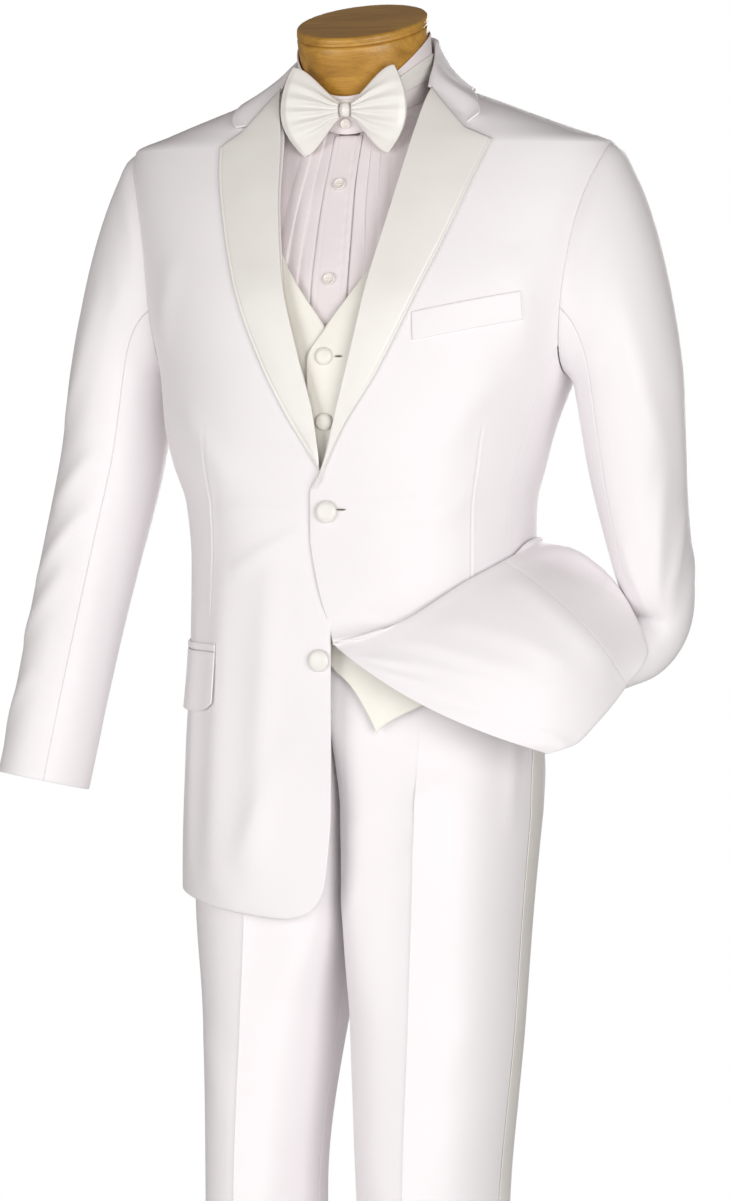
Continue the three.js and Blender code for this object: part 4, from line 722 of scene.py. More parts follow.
sewn("trouser_inner_waistband", waistband, ["torso_jersey"], "trouser_waistband", TROUSER_WALL, suit_cloth,
     "suit_cloth", closed=True)

# The jacket's body: white suiting in a front, an underarm panel and a back on each side. The left front closes
# over the right one, and its skirt is drawn back over the forearm, with its waist folded in behind it.
JACKET_WALL, SEAM_TURN = 2, 0.01
SHOULDER, NECKLINE, UNDERARM_JOIN, ARM_MIDDLE, ARM_HALF, ARM_TURN = 1438, 1500, 1251, 1331, 107, 27
JACKET = table(
    "z right left front back",
    (700, 181, 160, 139, 126), (760, 181, 163, 139, 130), (870, 178, 174, 137, 134), (960, 173, 168, 137, 124),
    (1050, 172, 159, 133, 114), (1101, 177, 160, 133, 115), (1142, 192, 169, 134, 120), (1175, 200, 178, 135, 125),
    (1225, 205, 198, 133, 130), (1290, 222, 224, 127, 132), (1340, 231, 235, 116, 128), (1390, 237, 239, 101, 118),
    (1420, 239, 240, 88, 108), (1438, 237, 237, 79, 100), (1452, 202, 202, 72, 92), (1478, 131, 131, 60, 78),
    (1491, 97, 97, 54, 69), (1500, 79, 79, 50, 63),
)
RIGHT_EDGE = table(
    "z x",
    (710, -50), (720, -36), (725, -17), (734, -5), (748, 2), (775, 6), (820, 9), (980, 9), (1060, 13), (1105, 12),
    (1137, -3), (1170, -6), (1222, -18), (1261, -32), (1304, -42), (1333, -46), (1382, -53), (1441, -59),
    (1465, -65), (1490, -73), (1500, -75),
)
LEFT_EDGE = table(
    "z x",
    (940, 24), (979, 12), (1017, -1), (1047, -8), (1075, -12), (1114, -12), (1137, -1), (1179, 13), (1216, 24),
    (1262, 34), (1309, 43), (1334, 50), (1381, 60), (1420, 66), (1440, 69), (1470, 74), (1490, 77), (1500, 77),
)
# Soft folds on the body, in millimetres: 2.6 for each degree of turn, and the height
JACKET_FOLDS = [
    (-38, 1060, -50, 740, 14, 3.0),
    (-92, 1050, -98, 735, 16, 3.4),
    (-138, 1010, -142, 740, 14, 2.6),
    (-12, 900, -70, 760, 12, 2.0),
    (-8, 1082, -80, 1040, 7, 1.8),
    (-10, 1096, -95, 1100, 7, 1.5),
    (30, 1102, 110, 1112, 8, 1.5),
    (30, 1088, 100, 1075, 7, 1.8),
    (60, 1060, 140, 1120, 10, 1.6),
    (-70, 1120, -120, 1200, 14, 1.6),
    (90, 1150, 130, 1230, 16, 1.6),
    (-150, 1240, -110, 1340, 14, 2.0),
    (150, 1240, 110, 1340, 14, 2.0),
    (-410, 1080, -420, 750, 20, 3.6),
    (410, 1060, 418, 750, 20, 3.6),
    (-330, 1040, -325, 750, 16, 3.0),
    (340, 1180, 430, 1090, 12, 2.6),
    (-340, 1180, -430, 1090, 12, 2.6),
    (-445, 1120, -330, 1060, 11, 2.4),
    (445, 1120, 330, 1060, 11, 2.4),
    (-400, 1380, -360, 1250, 16, 2.6),
    (400, 1380, 360, 1250, 16, 2.6),
    (-340, 1330, -370, 1210, 10, 2.0),
    (340, 1330, 370, 1210, 10, 2.0),
    (-450, 1440, -380, 1450, 8, 1.0),
    (450, 1440, 380, 1450, 8, 1.0),
]


def jacket_soft(turn, z):
    """How far the jacket's cloth stands off its own section: its folds and a gentle unevenness."""
    turn = (turn + 180) % 360 - 180
    return folds(turn * 2.6, z, JACKET_FOLDS) + ripple(section_point(JACKET, turn, z), 0.45, 130)


def outer_turn(z, sign):
    """The turn at which a panel ends: its underarm seam, the armhole's ellipse above that, and at the top the
    shoulder seam. The sign is -1 for fronts and 1 for backs."""
    ellipse = lambda height: ARM_TURN * np.sqrt(np.maximum(0, 1 - ((height - ARM_MIDDLE) / ARM_HALF) ** 2))
    below = ellipse(UNDERARM_JOIN) + 4 * (1 - ease(700, UNDERARM_JOIN, z))
    return 90 + sign * (SEAM_TURN + np.where(z >= SHOULDER, 0, np.where(z > UNDERARM_JOIN, ellipse(z), below)))


def armhole_floor(turn):
    """The height of the armhole's lower edge above the underarm panel."""
    return ARM_MIDDLE - ARM_HALF * np.sqrt(np.maximum(0, 1 - ((np.abs(turn) - 90) / ARM_TURN) ** 2)) - 0.3


def hem_rise(turn, z):
    """The hem rises by 14 mm towards the sides."""
    return 14 * ease(8, 70, np.abs(turn)) * (1 - ease(720, 900, z))


UNDERARM_TURN = 90 - np.degrees(np.arcsin((UNDERARM_JOIN - ARM_MIDDLE) / ARM_HALF))
armhole_rows = ARM_MIDDLE + ARM_HALF * np.cos(np.radians(np.linspace(UNDERARM_TURN, 0, 34)))
shoulder_rows = np.concatenate([np.linspace(SHOULDER, 1496, 19)[1:], [1498.6, NECKLINE]])
hem_rows = np.concatenate([[720, 720.8, 722, 723.5, 725, 727, 729.5, 732, 735], np.linspace(738, 1244, 100)])
body_rows = np.concatenate([hem_rows, armhole_rows, shoulder_rows])

# Each front has a dart, a sewn line that starts under the pocket: its turn at each height
RIGHT_DART = table("z turn", (1041, 41.8), (1107, 39.9), (1178, 35.2))
LEFT_DART = table("z turn", (1041, 52.3), (1109, 52), (1173, 50.3))


def dart(rows, turn, z, top):
    """How deep a dart's seam sinks: a Gaussian groove, with the cloth a little proud on both sides of it."""
    away = np.abs(np.abs(turn) - read(rows, z, "turn"))
    return (np.exp(-((away / 0.42) ** 2)) - 0.25 * np.exp(-(((away - 1.1) / 0.6) ** 2))) * (1 - ease(top - 25, top, z))


dart_u = np.linspace(0.385, 0.475, 34)
u = np.concatenate([[0, 0.003], np.linspace(0.012, 0.375, 26), dart_u, np.linspace(0.486, 0.985, 36), [0.996, 1]])
u, z = np.meshgrid(u, body_rows)
turn = mix(-outer_turn(z, -1), turn_at(JACKET, read(RIGHT_EDGE, z, "x"), z), u)
sunk = dart(RIGHT_DART, turn, z, 1185) * ease(985, 1010, z)
under = -3 * ease(0.5, 0.85, u) * (1 - ease(1142, 1172, z))
right_front = on_body(JACKET, turn, z + hem_rise(turn, z), under + jacket_soft(turn, z) - 0.75 * sunk)
sewn("jacket_right_front", right_front, ["waistcoat_right_front", "trouser_right_front"],
     "jacket_front_right", JACKET_WALL, suit_cloth, "suit_cloth")

share, step = np.meshgrid(edged(0, 1, 26, 0.02), np.append(hem_rows[:-6], np.linspace(0, 1, 16)))
row = np.where(step > 1, step, UNDERARM_JOIN)
turn = mix(-outer_turn(row, 1), -outer_turn(row, -1), share) + 2 * SEAM_TURN * (1 - 2 * share)
z = np.where(step > 1, row, mix(hem_rows[-6], armhole_floor(turn), np.minimum(step, 1)))
right_side = on_body(JACKET, turn, z + hem_rise(turn, z), jacket_soft(turn, z))
sewn("jacket_right_side", right_side, ["waistcoat_plain_back", "trouser_right_back"], "jacket_side_right",
     JACKET_WALL, suit_cloth, "suit_cloth")

u, z = np.meshgrid(edged(0, 1, 46, 0.008), body_rows)
turn = mix(180.01, 360 - outer_turn(z, 1), u)
right_back = on_body(JACKET, turn, z + hem_rise(180 - turn, z), jacket_soft(turn, z))
sewn("jacket_right_back", right_back, ["waistcoat_plain_back"], "jacket_back_right", JACKET_WALL,
     suit_cloth, "suit_cloth")
turn = mix(outer_turn(z, 1) + 12 * (1 - ease(900, 1066, z)), 179.99, u)
left_back = on_body(JACKET, turn, z + hem_rise(180 - turn, z), jacket_soft(turn, z))
sewn("jacket_left_back", left_back, ["waistcoat_plain_back"], "jacket_back_left", JACKET_WALL, suit_cloth,
     "suit_cloth")

# The swept skirt runs from its front edge (u 0) round the ridge over the forearm to the open vent (u 1), and
# each of its lines runs from the waist fold through a middle point to the hem.
SKIRT = table(
    "u x0 y0 z0 x1 y1 z1 x2 y2 z2",
    (0, 14, -138.5, 976, 110, -150, 921, 215, -122, 881),
    (0.24, 78, -131, 999, 166, -138, 944, 234, -103, 887),
    (0.43, 126, -100, 1033, 204, -113, 977, 252, -82, 909),
    (0.6, 154, -64, 1052, 226, -78, 1002, 269, -52, 939),
    (0.72, 168, -2, 1066, 233, -8, 1039, 282, -27, 969),
    (0.8, 166, 20, 1068, 196, 26, 1056, 222, 24, 1030),
    (0.88, 160, 38, 1068, 180, 58, 1020, 200, 76, 966),
    (1, 152.4, 41.5, 1067, 161, 58, 985, 178, 90, 900),
)
# How deep the waist is tucked behind the skirt's upper edge, and how far that edge stands out from the body
TUCKED = table("u tuck out", (0, -6, 4), (0.1, -3, 5), (0.24, 7, 7), (0.43, 17, 7), (0.72, 18, 8), (0.88, 8, 6), (1, -4, 1))
# The rows round the fold: share of the tuck where folded, share where the cloth runs on plain, rise and out
FOLD_ROWS = ((0, 0.05, 1.2, 4), (0.25, 0.3, 0, 1.7), (0.92, 0.7, 0, 1.2), (1, 0.9, -0.5, 0.6), (1, 1, 0, 0))
# Folds on the skirt, in millimetres: 270 for each unit of u, and 150 for each of v
SKIRT_FOLDS = [
    (4, 138, 34, 112, 4, 1.6),
    (3, 126, 28, 92, 4, 1.2),
    (12, 148, 70, 70, 7, 1.0),
    (45, 150, 95, 60, 9, 1.1),
    (80, 148, 125, 50, 9, 1.0),
    (30, 60, 60, 0, 12, 1.4),
    (150, 146, 160, 20, 13, 3.0),
    (5, 90, 60, 20, 7, -1.0),
    (182, 144, 190, 70, 10, -5.0),
    (210, 120, 225, 10, 12, 2.0),
    (248, 130, 255, 10, 10, -2.4),
]


def skirt(u, v):
    """The parabola through a line's three points, with v from 0 at the waist fold to 1 at the hem."""
    shares = (1 - v) * (1 - 2 * v), 4 * v * (1 - v), v * (2 * v - 1)
    return np.stack([sum(s * read(SKIRT, u, f"{axis}{k}") for k, s in enumerate(shares)) for axis in "xyz"], -1)


def through(points, count):
    """Rows resampled on cubic curves through them: each slope weighs the two chords beside a row."""
    chord = np.linalg.norm(np.diff(points, axis=0), axis=-1)[..., None]
    pace = np.diff(points, axis=0) / chord
    inner = (pace[1:] * chord[:-1] + pace[:-1] * chord[1:]) / (chord[1:] + chord[:-1])
    slope = np.concatenate([pace[:1], inner, pace[-1:]])
    s = np.linspace(0, 1, count, endpoint=False)[:, None, None, None]
    start = points[:-1] * (2 * s**3 - 3 * s**2 + 1) + slope[:-1] * chord * (s**3 - 2 * s**2 + s)
    spans = start + points[1:] * (3 * s**2 - 2 * s**3) + slope[1:] * chord * (s**3 - s**2)
    return np.concatenate([spans.swapaxes(0, 1).reshape(-1, *points.shape[1:]), points[-1:]])


def left_side(u, turn_of, tops):
    """The swept side's grid at the columns u: the skirt from the hem up, round the waist fold, then up the body
    to the heights tops, rows that may differ from column to column."""
    at, v = np.meshgrid(u, np.concatenate([[0, 0.006], np.linspace(0.02, 0.94, 44)]))
    soft = folds(at * 270, v * 150, SKIRT_FOLDS) * (1 - ease(0.84, 0.94, v))
    hanging = raised(skirt(at, 1 - v), soft + ripple(skirt(at, 1 - v), 0.5, 110) * (1 - ease(0.84, 0.94, v)))
    edge, tuck, out = skirt(u, 0 * u), read(TUCKED, u, "tuck"), read(TUCKED, u, "out")
    folded = np.clip(tuck / 6, 0, 1)
    turning = [hanging[-1], edge]
    for down, plain, rise, stand in FOLD_ROWS:
        z = edge[:, 2] - tuck * mix(plain, down, folded) + rise * folded
        turning.append(on_body(JACKET, turn_of(u, z), z, stand * out / 7))
    low = edge[:, 2] - tuck

    def body(z):
        turn = turn_of(u, z)
        height = jacket_soft(turn, z) * ease(1062, 1112, z)
        return on_body(JACKET, turn, z, height - 0.75 * dart(LEFT_DART, turn, z, 1185))

    turning += [body(mix(low, 1090, 0.35)), body(mix(low, 1090, 0.6))]
    waist = through(np.stack(turning), 5)[1:-6]
    rising = body(mix(low, 1090, np.linspace(0.35, 1, 12)[1:, None]))
    return np.concatenate([hanging, waist, rising, body(tops)])


SIDE_U, SEAM_U = 0.6, 0.0002
front_turn = lambda u, z: mix(turn_at(JACKET, read(LEFT_EDGE, z, "x"), z), outer_turn(z, -1), u / (SIDE_U - SEAM_U))
side_share = lambda u: (u - SIDE_U - SEAM_U) / (1 - SIDE_U - SEAM_U)
side_turn = lambda u, z: mix(outer_turn(z, -1) + 2 * SEAM_TURN, outer_turn(z, 1) - 2 * SEAM_TURN, side_share(u))
chest_rows = np.linspace(1094, 1245, 34)
front_u = np.concatenate([[0, 0.002], np.linspace(0.008, 0.385, 42), np.linspace(0.393, 0.469, 38),
                          np.linspace(0.478, 0.594, 14), [SIDE_U - SEAM_U - 0.002, SIDE_U - SEAM_U]])
chest = np.concatenate([chest_rows, armhole_rows, shoulder_rows])[:, None] + 0 * front_u
left_front = left_side(front_u, front_turn, chest)
sewn("jacket_left_front", left_front, ["waistcoat_left_front", "jacket_right_front"], "jacket_front_left",
     JACKET_WALL, suit_cloth, "suit_cloth")
side_u = edged(SIDE_U + SEAM_U, 1, 44, 0.004)
floor_rows = armhole_floor(side_turn(side_u, np.full_like(side_u, UNDERARM_JOIN)))
chest = np.concatenate([chest_rows[:-9, None] + 0 * side_u, mix(chest_rows[-10], floor_rows, np.linspace(0, 1, 16)[1:, None])])
sewn("jacket_left_side", left_side(side_u, side_turn, chest),
     ["jacket_sleeve_left_top", "waistcoat_left_front"], "jacket_side_left", JACKET_WALL, suit_cloth,
     "suit_cloth")

# The sleeves: a top and an under sleeve of white suiting on each arm. The right one hangs empty and open, and
# the left one is bent at the elbow, so that its cuff goes under the swept skirt.
RIGHT_SLEEVE = table(
    "s x y z w d",
    (0, -255, 0, 1215, 51, 59), (1, -262, -8, 1150, 50, 56), (2, -279, -20, 1058, 47, 52), (3, -297, -35, 957, 45, 49),
    (4, -307, -45, 896, 44, 47), (5, -317, -55, 833, 44, 46),
)
LEFT_SLEEVE = table(
    "s x y z w d",
    (0, 254, 3, 1215, 50, 59), (1, 260, 10, 1142, 45, 55), (2, 267, 20, 1080, 39, 53), (3, 274, 30, 1030, 34, 49),
    (3.6, 279, 32, 996, 30, 36), (4, 271, 22, 975, 30, 30), (4.5, 246, -3, 960, 28, 28), (5, 212, -42, 946, 27, 28),
)
SLEEVE_SEAM = 115.33
# The bent elbow's ring, where the inside of the bend is smoothed along the sleeve
ELBOW = 3.75
# Folds on the sleeves, in millimetres: 0.85 for each degree from the outer side, and 75 for each ring down
RIGHT_SLEEVE_FOLDS = [
    (60, -40, 30, 60, 11, 2.4), (-50, -40, -30, 70, 11, 2.2), (20, -20, 0, 90, 12, 1.4), (84, 80, 40, 130, 9, 2.6),
    (92, 120, 30, 185, 8, 3.0), (80, 170, 20, 225, 9, 2.6), (-90, 90, -40, 170, 10, 2.6), (-92, 150, -45, 205, 9, 2.6),
    (-80, 200, -20, 280, 12, 2.2), (60, 250, 10, 340, 12, 2.0), (-40, 300, -10, 365, 11, 1.6),
]
LEFT_SLEEVE_FOLDS = [
    (60, -40, 30, 70, 12, 1.8), (-50, -40, -25, 90, 12, 1.6), (10, -10, 0, 110, 12, 1.2), (30, 70, 66, 268, 9, 2.2),
    (0, 120, 56, 280, 9, 2.0), (-30, 190, 44, 292, 8, 1.8), (88, 150, 78, 262, 7, 1.8), (-80, 100, -30, 190, 12, 1.6),
    (-60, 300, -10, 340, 10, 1.4),
]


def sleeve_point(rings, side, turn, s):
    """An oval ring across the sleeve's centre line at s, with the turn from its outer side. Above the armpit
    (s from -1 to 0) each line is a cubic curve from the armhole to the first ring."""
    centre = lambda at: np.stack([read(rings, at, axis) for axis in "xyz"], -1)
    column = lambda value: value[..., None]

    def ring(s):
        along = unit(centre(np.minimum(s + 0.05, 5)) - centre(np.maximum(s - 0.05, 0)))
        outward = unit(np.array([side, 0, 0]) - side * along[..., :1] * along)
        forward = side * np.cross(along, outward)
        across = column(read(rings, s, "w") * np.cos(np.radians(turn))) * outward
        return centre(s) + across + column(read(rings, s, "d") * np.sin(np.radians(turn))) * forward

    sin, share = np.sin(np.radians(turn)), column(np.minimum(1 + s, 1))
    height = ARM_MIDDLE + (ARM_HALF + 0.6) * np.cos(np.radians(turn))
    start, end = section_point(JACKET, side * (90 - (ARM_TURN + 0.3) * sin), height), ring(0 * s)
    reach = np.linalg.norm(end - start, axis=-1, keepdims=True)
    leave = np.stack([0 * sin + side * 0.8, -0.2 * sin, 0 * sin - 0.6], -1) * np.minimum(120, reach)
    arrive = unit(centre(np.array(0.05)) - centre(np.array(0.0))) * reach
    head = start * (2 * share**3 - 3 * share**2 + 1) + leave * (share**3 - 2 * share**2 + share)
    head = head + end * (3 * share**2 - 2 * share**3) + arrive * (share**3 - share**2)
    return np.where(column(s < 0), head, ring(np.maximum(s, 0)))


def sleeve_turns(count):
    """Turns all round from the under sleeve's middle, with two near each side of both seams."""
    beside = np.array([-1.4, -0.03, 0.03, 1.4])
    top = np.linspace(-SLEEVE_SEAM + 4, SLEEVE_SEAM - 4, count)
    under = np.linspace(SLEEVE_SEAM + 4, 180, count // 4)
    return np.concatenate([-under[::-1], -SLEEVE_SEAM + beside, top, SLEEVE_SEAM + beside, under])


turns = sleeve_turns(72)
rows = np.concatenate([[-1, -0.985, -0.965, -0.94, -0.91, -0.87, -0.82], np.linspace(-0.76, 4.95, 118), [4.985, 5]])[::-1]
for label, side, rings, crumples in (("right", -1, RIGHT_SLEEVE, RIGHT_SLEEVE_FOLDS),
                                     ("left", 1, LEFT_SLEEVE, LEFT_SLEEVE_FOLDS)):
    turn, s = np.meshgrid(turns if side < 0 else turns[::-1], rows)
    tube = sleeve_point(rings, side, turn, s)
    rope = 1.6 * np.exp(-(((s + 0.9) / 0.06) ** 2)) * ease(-0.2, 0.5, np.cos(np.radians(turn)))
    soft = folds(turn * 0.85, s * 75, crumples) + ripple(tube, 0.5, 100)
    tube = raised(tube, rope + soft * ease(-1, -0.6, s), closed=True)
    if side > 0:
        eased = 0.5 * np.exp(-(((s - ELBOW) / 0.5) ** 2))[1:-1, :, None]
        for _ in range(44):
            tube[1:-1] += eased * ((tube[:-2] + tube[2:]) / 2 - tube[1:-1])
    top = np.abs(turn[0]) < SLEEVE_SEAM
    over = tube[:, top]
    before, after = tube[:, :np.argmax(top)], tube[:, np.argmax(top) + top.sum():]
    beneath = np.concatenate([after[:, :-1], before], axis=1)
    for half, grid in (("top", over), ("under", beneath)):
        sewn(f"jacket_sleeve_{label}_{half}", grid,
             [f"jacket_{label}_back" if half == "top" else f"jacket_sleeve_{label}_top"],
             f"jacket_{half}_sleeve_{label}", JACKET_WALL, suit_cloth, "suit_cloth")

# The lapels and the collar: satin lapels folded back from the fronts, each with a stitched edge, and a collar
# of suiting that rolls over its stand at the back of the neck and meets them in a notch.
LEFT_LAPEL = table(
    "v foldX foldZ edgeX edgeZ notch",
    (0, -1, 1130, -6, 1118, 0), (0.14, 12, 1177, 22, 1176, 0), (0.32, 27, 1238, 52, 1225, 0),
    (0.55, 43, 1314, 88, 1300, 0), (0.74, 58, 1378, 114, 1360, 0), (0.9, 68, 1434, 131, 1408, 3),
    (1, 75.5, 1487, 142, 1440, 9),
)
RIGHT_LAPEL = table(
    "v foldX foldZ edgeX edgeZ notch",
    (0, -2, 1141, -3, 1136, 0), (0.14, -6, 1182, -24, 1170, 0), (0.32, -21, 1238, -60, 1232, 0),
    (0.55, -42, 1314, -92, 1305, 0), (0.74, -52, 1378, -111, 1372, 0), (0.9, -59, 1434, -121, 1416, 2),
    (1, -72, 1489, -124, 1437, 8),
)
SATIN_WALL, LAPEL_OUT, NOTCH_SHARE = 1.4, 2.6, 0.6


def lapel(rows, u, v, low=0.0):
    """A lapel lies on the front: u runs from the fold to the outer edge and v up it. Its roll stands it off at
    the fold, and a stitched line 2.5 mm inside the edge sinks in."""
    x = mix(read(rows, v, "foldX"), read(rows, v, "edgeX"), u)
    dip = read(rows, v, "notch") * np.minimum(u / NOTCH_SHARE, (1 - u) / (1 - NOTCH_SHARE))
    z = mix(read(rows, v, "foldZ"), read(rows, v, "edgeZ"), u) - dip
    roll = 3.5 * ease(0, 0.35, v) * (1 - u) ** 2 + 1.2 * np.sin(np.pi * u)
    wide = np.abs(read(rows, v, "edgeX") - read(rows, v, "foldX"))
    stitched = 0.35 * np.exp(-(((1 - u) * wide - 2.6) / 0.8) ** 2) * ease(4, 12, wide)
    turn = turn_at(JACKET, x, z)
    under = low * (1 - ease(1142, 1185, z))
    return on_body(JACKET, turn, z, LAPEL_OUT + roll - under - stitched + jacket_soft(turn, z))


across = np.concatenate([[0, 0.012], np.linspace(0.04, 0.9, 26), np.linspace(0.915, 0.99, 10), [1]])
u, v = np.meshgrid(across, np.concatenate([[0, 0.004], np.linspace(0.012, 0.988, 110), [0.996, 1]]))
sewn("lapel_left", lapel(LEFT_LAPEL, u, v), ["jacket_left_front"], "jacket_lapel_left", SATIN_WALL,
     white_satin, "white_satin")
sewn("lapel_right", lapel(RIGHT_LAPEL, u, v, 3.0)[:, ::-1], ["jacket_right_front"], "jacket_lapel_right",
     SATIN_WALL, white_satin, "white_satin")

COLLAR = table(
    "k turn edgeZ foldX foldY foldZ seamX seamY seamZ",
    (0, 41.5, 1461, 76, -47, 1491, 74, -46, 1490), (0.1, 59, 1477, 74.5, -31, 1508, 71, -31, 1501),
    (0.2, 90, 1489, 69.5, -9, 1523, 71, -10, 1503), (0.3, 122, 1490, 63, 11, 1539, 65, 13, 1503),
    (0.4, 151, 1487, 38, 36, 1545, 41, 41, 1503), (0.5, 180, 1484, 0, 47, 1547, 0, 52, 1503),
)
RIGHT_COLLAR_TURN, RIGHT_TIP_DROP = 30, 8
# How deep the leaf's corner reaches down to each lapel
LEFT_GORGE, RIGHT_GORGE = 18, 8


def collar(k, v):
    """The leaf, from the left gorge (k 0) round the neck to the right one (k 1), and from its outer edge on the
    jacket (v 0) to its fold (v 1). Also gives the direction inwards at the fold."""
    mirror, half = np.where(k > 0.5, -1, 1), np.minimum(k, 1 - k)
    column = lambda value: value[..., None]
    narrower = np.where(k > 0.5, (41.5 - RIGHT_COLLAR_TURN) * (1 - ease(0, 0.16, half)), 0)
    lower = np.where(k > 0.5, RIGHT_TIP_DROP * (1 - ease(0, 0.14, half)), 0)
    turn, z = mirror * (read(COLLAR, half, "turn") - narrower), read(COLLAR, half, "edgeZ") - lower
    edge = on_body(JACKET, turn, z, mix(6.4, 2.9, ease(0, 0.15, half)))
    fold = np.stack([mirror * read(COLLAR, half, "foldX"), read(COLLAR, half, "foldY"), read(COLLAR, half, "foldZ")], -1)
    behind = ease(0.2, 0.5, half)
    inward = np.stack([-mirror * (1 - behind), -behind, 0 * behind], -1)
    hollow = 5 * np.sin(np.pi * v) * ease(0.05, 0.2, half)
    gorge = np.where(k > 0.5, RIGHT_GORGE, LEFT_GORGE)
    notch = -gorge * np.minimum(v / 0.28, np.sqrt((1 - v) / 0.72)) * (1 - ease(0, 0.08, half))
    up = np.stack([0 * v, 0.3 * notch, notch - hollow * 0.5], -1)
    return mix(edge, fold, column(v)) + inward * column(hollow * 0.7) + up, inward


k = edged(0, 1, 96, 0.006)
at, v = np.meshgrid(k, np.concatenate([[0, 0.008], np.linspace(0.03, 0.92, 30)]))
leaf, _ = collar(at, v)
fold, inward = collar(k, 1 + 0 * k)
mirror, half = np.where(k > 0.5, -1, 1), np.minimum(k, 1 - k)
seam = np.stack([mirror * read(COLLAR, half, "seamX"), read(COLLAR, half, "seamY"), read(COLLAR, half, "seamZ")], -1)
stand = fold + inward * 4
rolled = [leaf[-1], fold, fold + inward * 2.2 + [0, 0, 0.3], mix(stand, seam, 0.4), seam]
leaf = np.concatenate([leaf[:-1], through(np.stack(rolled), 6)])
sewn("collar_rolled", leaf, ["jacket_left_back", "jacket_right_back"], "jacket_collar", JACKET_WALL,
     suit_cloth, "suit_cloth", held="folded")

# The breast welt, the hip pocket's welt and flap, and the two covered front buttons with their buttonholes.
# The welts and the flap are flat pieces of suiting sewn on, each with a pressed and stitched edge.


def on_jacket(turn, z, out):
    """A point on the jacket's own soft surface, moved out."""
    return on_body(JACKET, turn, z, out + jacket_soft(turn, z))


u, v = np.meshgrid(edged(0, 1, 40, 0.012), edged(0, 1, 14, 0.04))
x, z = mix(85, 177, u) - v, 1255 + 19 * u + 26 * v
stitched = np.exp(-(((u - 0.03) / 0.008) ** 2)) + np.exp(-(((u - 0.97) / 0.008) ** 2))
welt = on_jacket(turn_at(JACKET, x, z), z, 1.8 + 0.8 * np.sin(np.pi * u) * v**2 - 0.25 * stitched)
sewn("breast_welt", welt, ["jacket_left_front"], "breast_pocket_welt", 1.4, suit_cloth, "suit_cloth",
     held="folded")
u, z = np.meshgrid(edged(0, 1, 40, 0.008), edged(966, 972.5, 6, 0.4))
sewn("hip_welt", on_jacket(mix(-88, -37, u), z, 2.3), ["jacket_right_front"], "hip_pocket_welt", 1.4,
     suit_cloth, "suit_cloth", held="folded")
u, v = np.meshgrid(edged(0, 1, 60, 0.006), edged(0, 1, 22, 0.015))
z = mix(908 + 9 * (1 - ease(0, 0.25, v)) * np.abs(2 * u - 1) ** 6, 965, v)
inset = np.minimum(np.minimum(v * 57, u * 133), (1 - u) * 133)
flap = on_jacket(mix(-88, -37, u), z, 2.5 + 2 * (1 - v) - 0.3 * np.exp(-(((inset - 2.4) / 0.7) ** 2)))
sewn("hip_flap", flap, ["jacket_right_front"], "hip_pocket_flap", 1.4, suit_cloth, "suit_cloth",
     held="folded")

for name, x, z, out in (("top", 5, 1098.0, 0.4), ("lower", -2, 961.0, -2.7)):
    turn = turn_at(JACKET, x, z)
    foot, further = on_jacket(turn, z, out), on_jacket(turn, z, out + 1)
    covered_button(f"jacket_dome_{name}", foot, further - foot, 10.5, 5, white_satin, "white_satin",
                   f"jacket_button_{name}")
front_lap = lambda x, dz, up: on_jacket(turn_at(JACKET, 19 + x, 1100 + dz), 1100 + dz, up)
buttonhole("jacket_hole", front_lap, 10, white_satin, "white_satin")

# The bow tie: two wings of gathered satin and the knot that pinches them, held on by a satin strap that goes
# round the collar band.
KNOT_X, KNOT_Y, KNOT_Z = 3, -78, 1469
# Where each pleat lies up the wing (-1 to 1), its width and its height at the knot
PLEATS = ((0.64, 0.1, 4.2), (0.3, 0.1, 4.6), (-0.04, 0.08, 4.4), (-0.38, 0.11, 4.8), (-0.72, 0.1, 3.6))


def bow_wing(side, tip, top_x, top_z, low_x, low_z):
    """A wing: lens-shaped rings from the knot to the tip, whose upper and lower corners differ. Its pleats are
    Gaussian ridges that fan out from the knot and fade towards the tip."""
    shares = np.concatenate([np.linspace(0, 0.9, 30), [0.93, 0.955, 0.975, 0.99, 1]])
    angle, share = np.meshgrid(np.linspace(0, 2 * np.pi, 97), shares)
    across, up = np.cos(angle), np.sin(angle)
    spread = mix(0.1, 1, ease(-0.25, 1, share))
    puff = mix(3.4, 6, np.sin(np.pi * share**0.7)) * (1 - 0.55 * ease(0.9, 1, share))
    reach = mix(np.where(up > 0, top_x, low_x), tip, across**2 * mix(0.5, 1, ease(0.4, 0.6, share)))
    tall = np.where(up > 0, top_z, low_z) * spread
    pleat = sum(high * np.exp(-(((up - at) / wide) ** 2)) for at, wide, high in PLEATS)
    pleat = (pleat - 1.8) * (1 - share) ** 0.8 * ease(-0.1, 0.2, share)
    flat = np.sign(across) * np.abs(across) ** 0.8
    hem = 0.35 * np.exp(-(((share - 0.93) / 0.015) ** 2)) * (np.abs(across) > 0.3)
    y = KNOT_Y + 5 * share - (puff + pleat - hem) * flat
    rings = np.stack([KNOT_X + side * mix(6.3, reach, share), y, KNOT_Z + tall * up], -1)
    rings[:, -1] = rings[:, 0]
    return rings


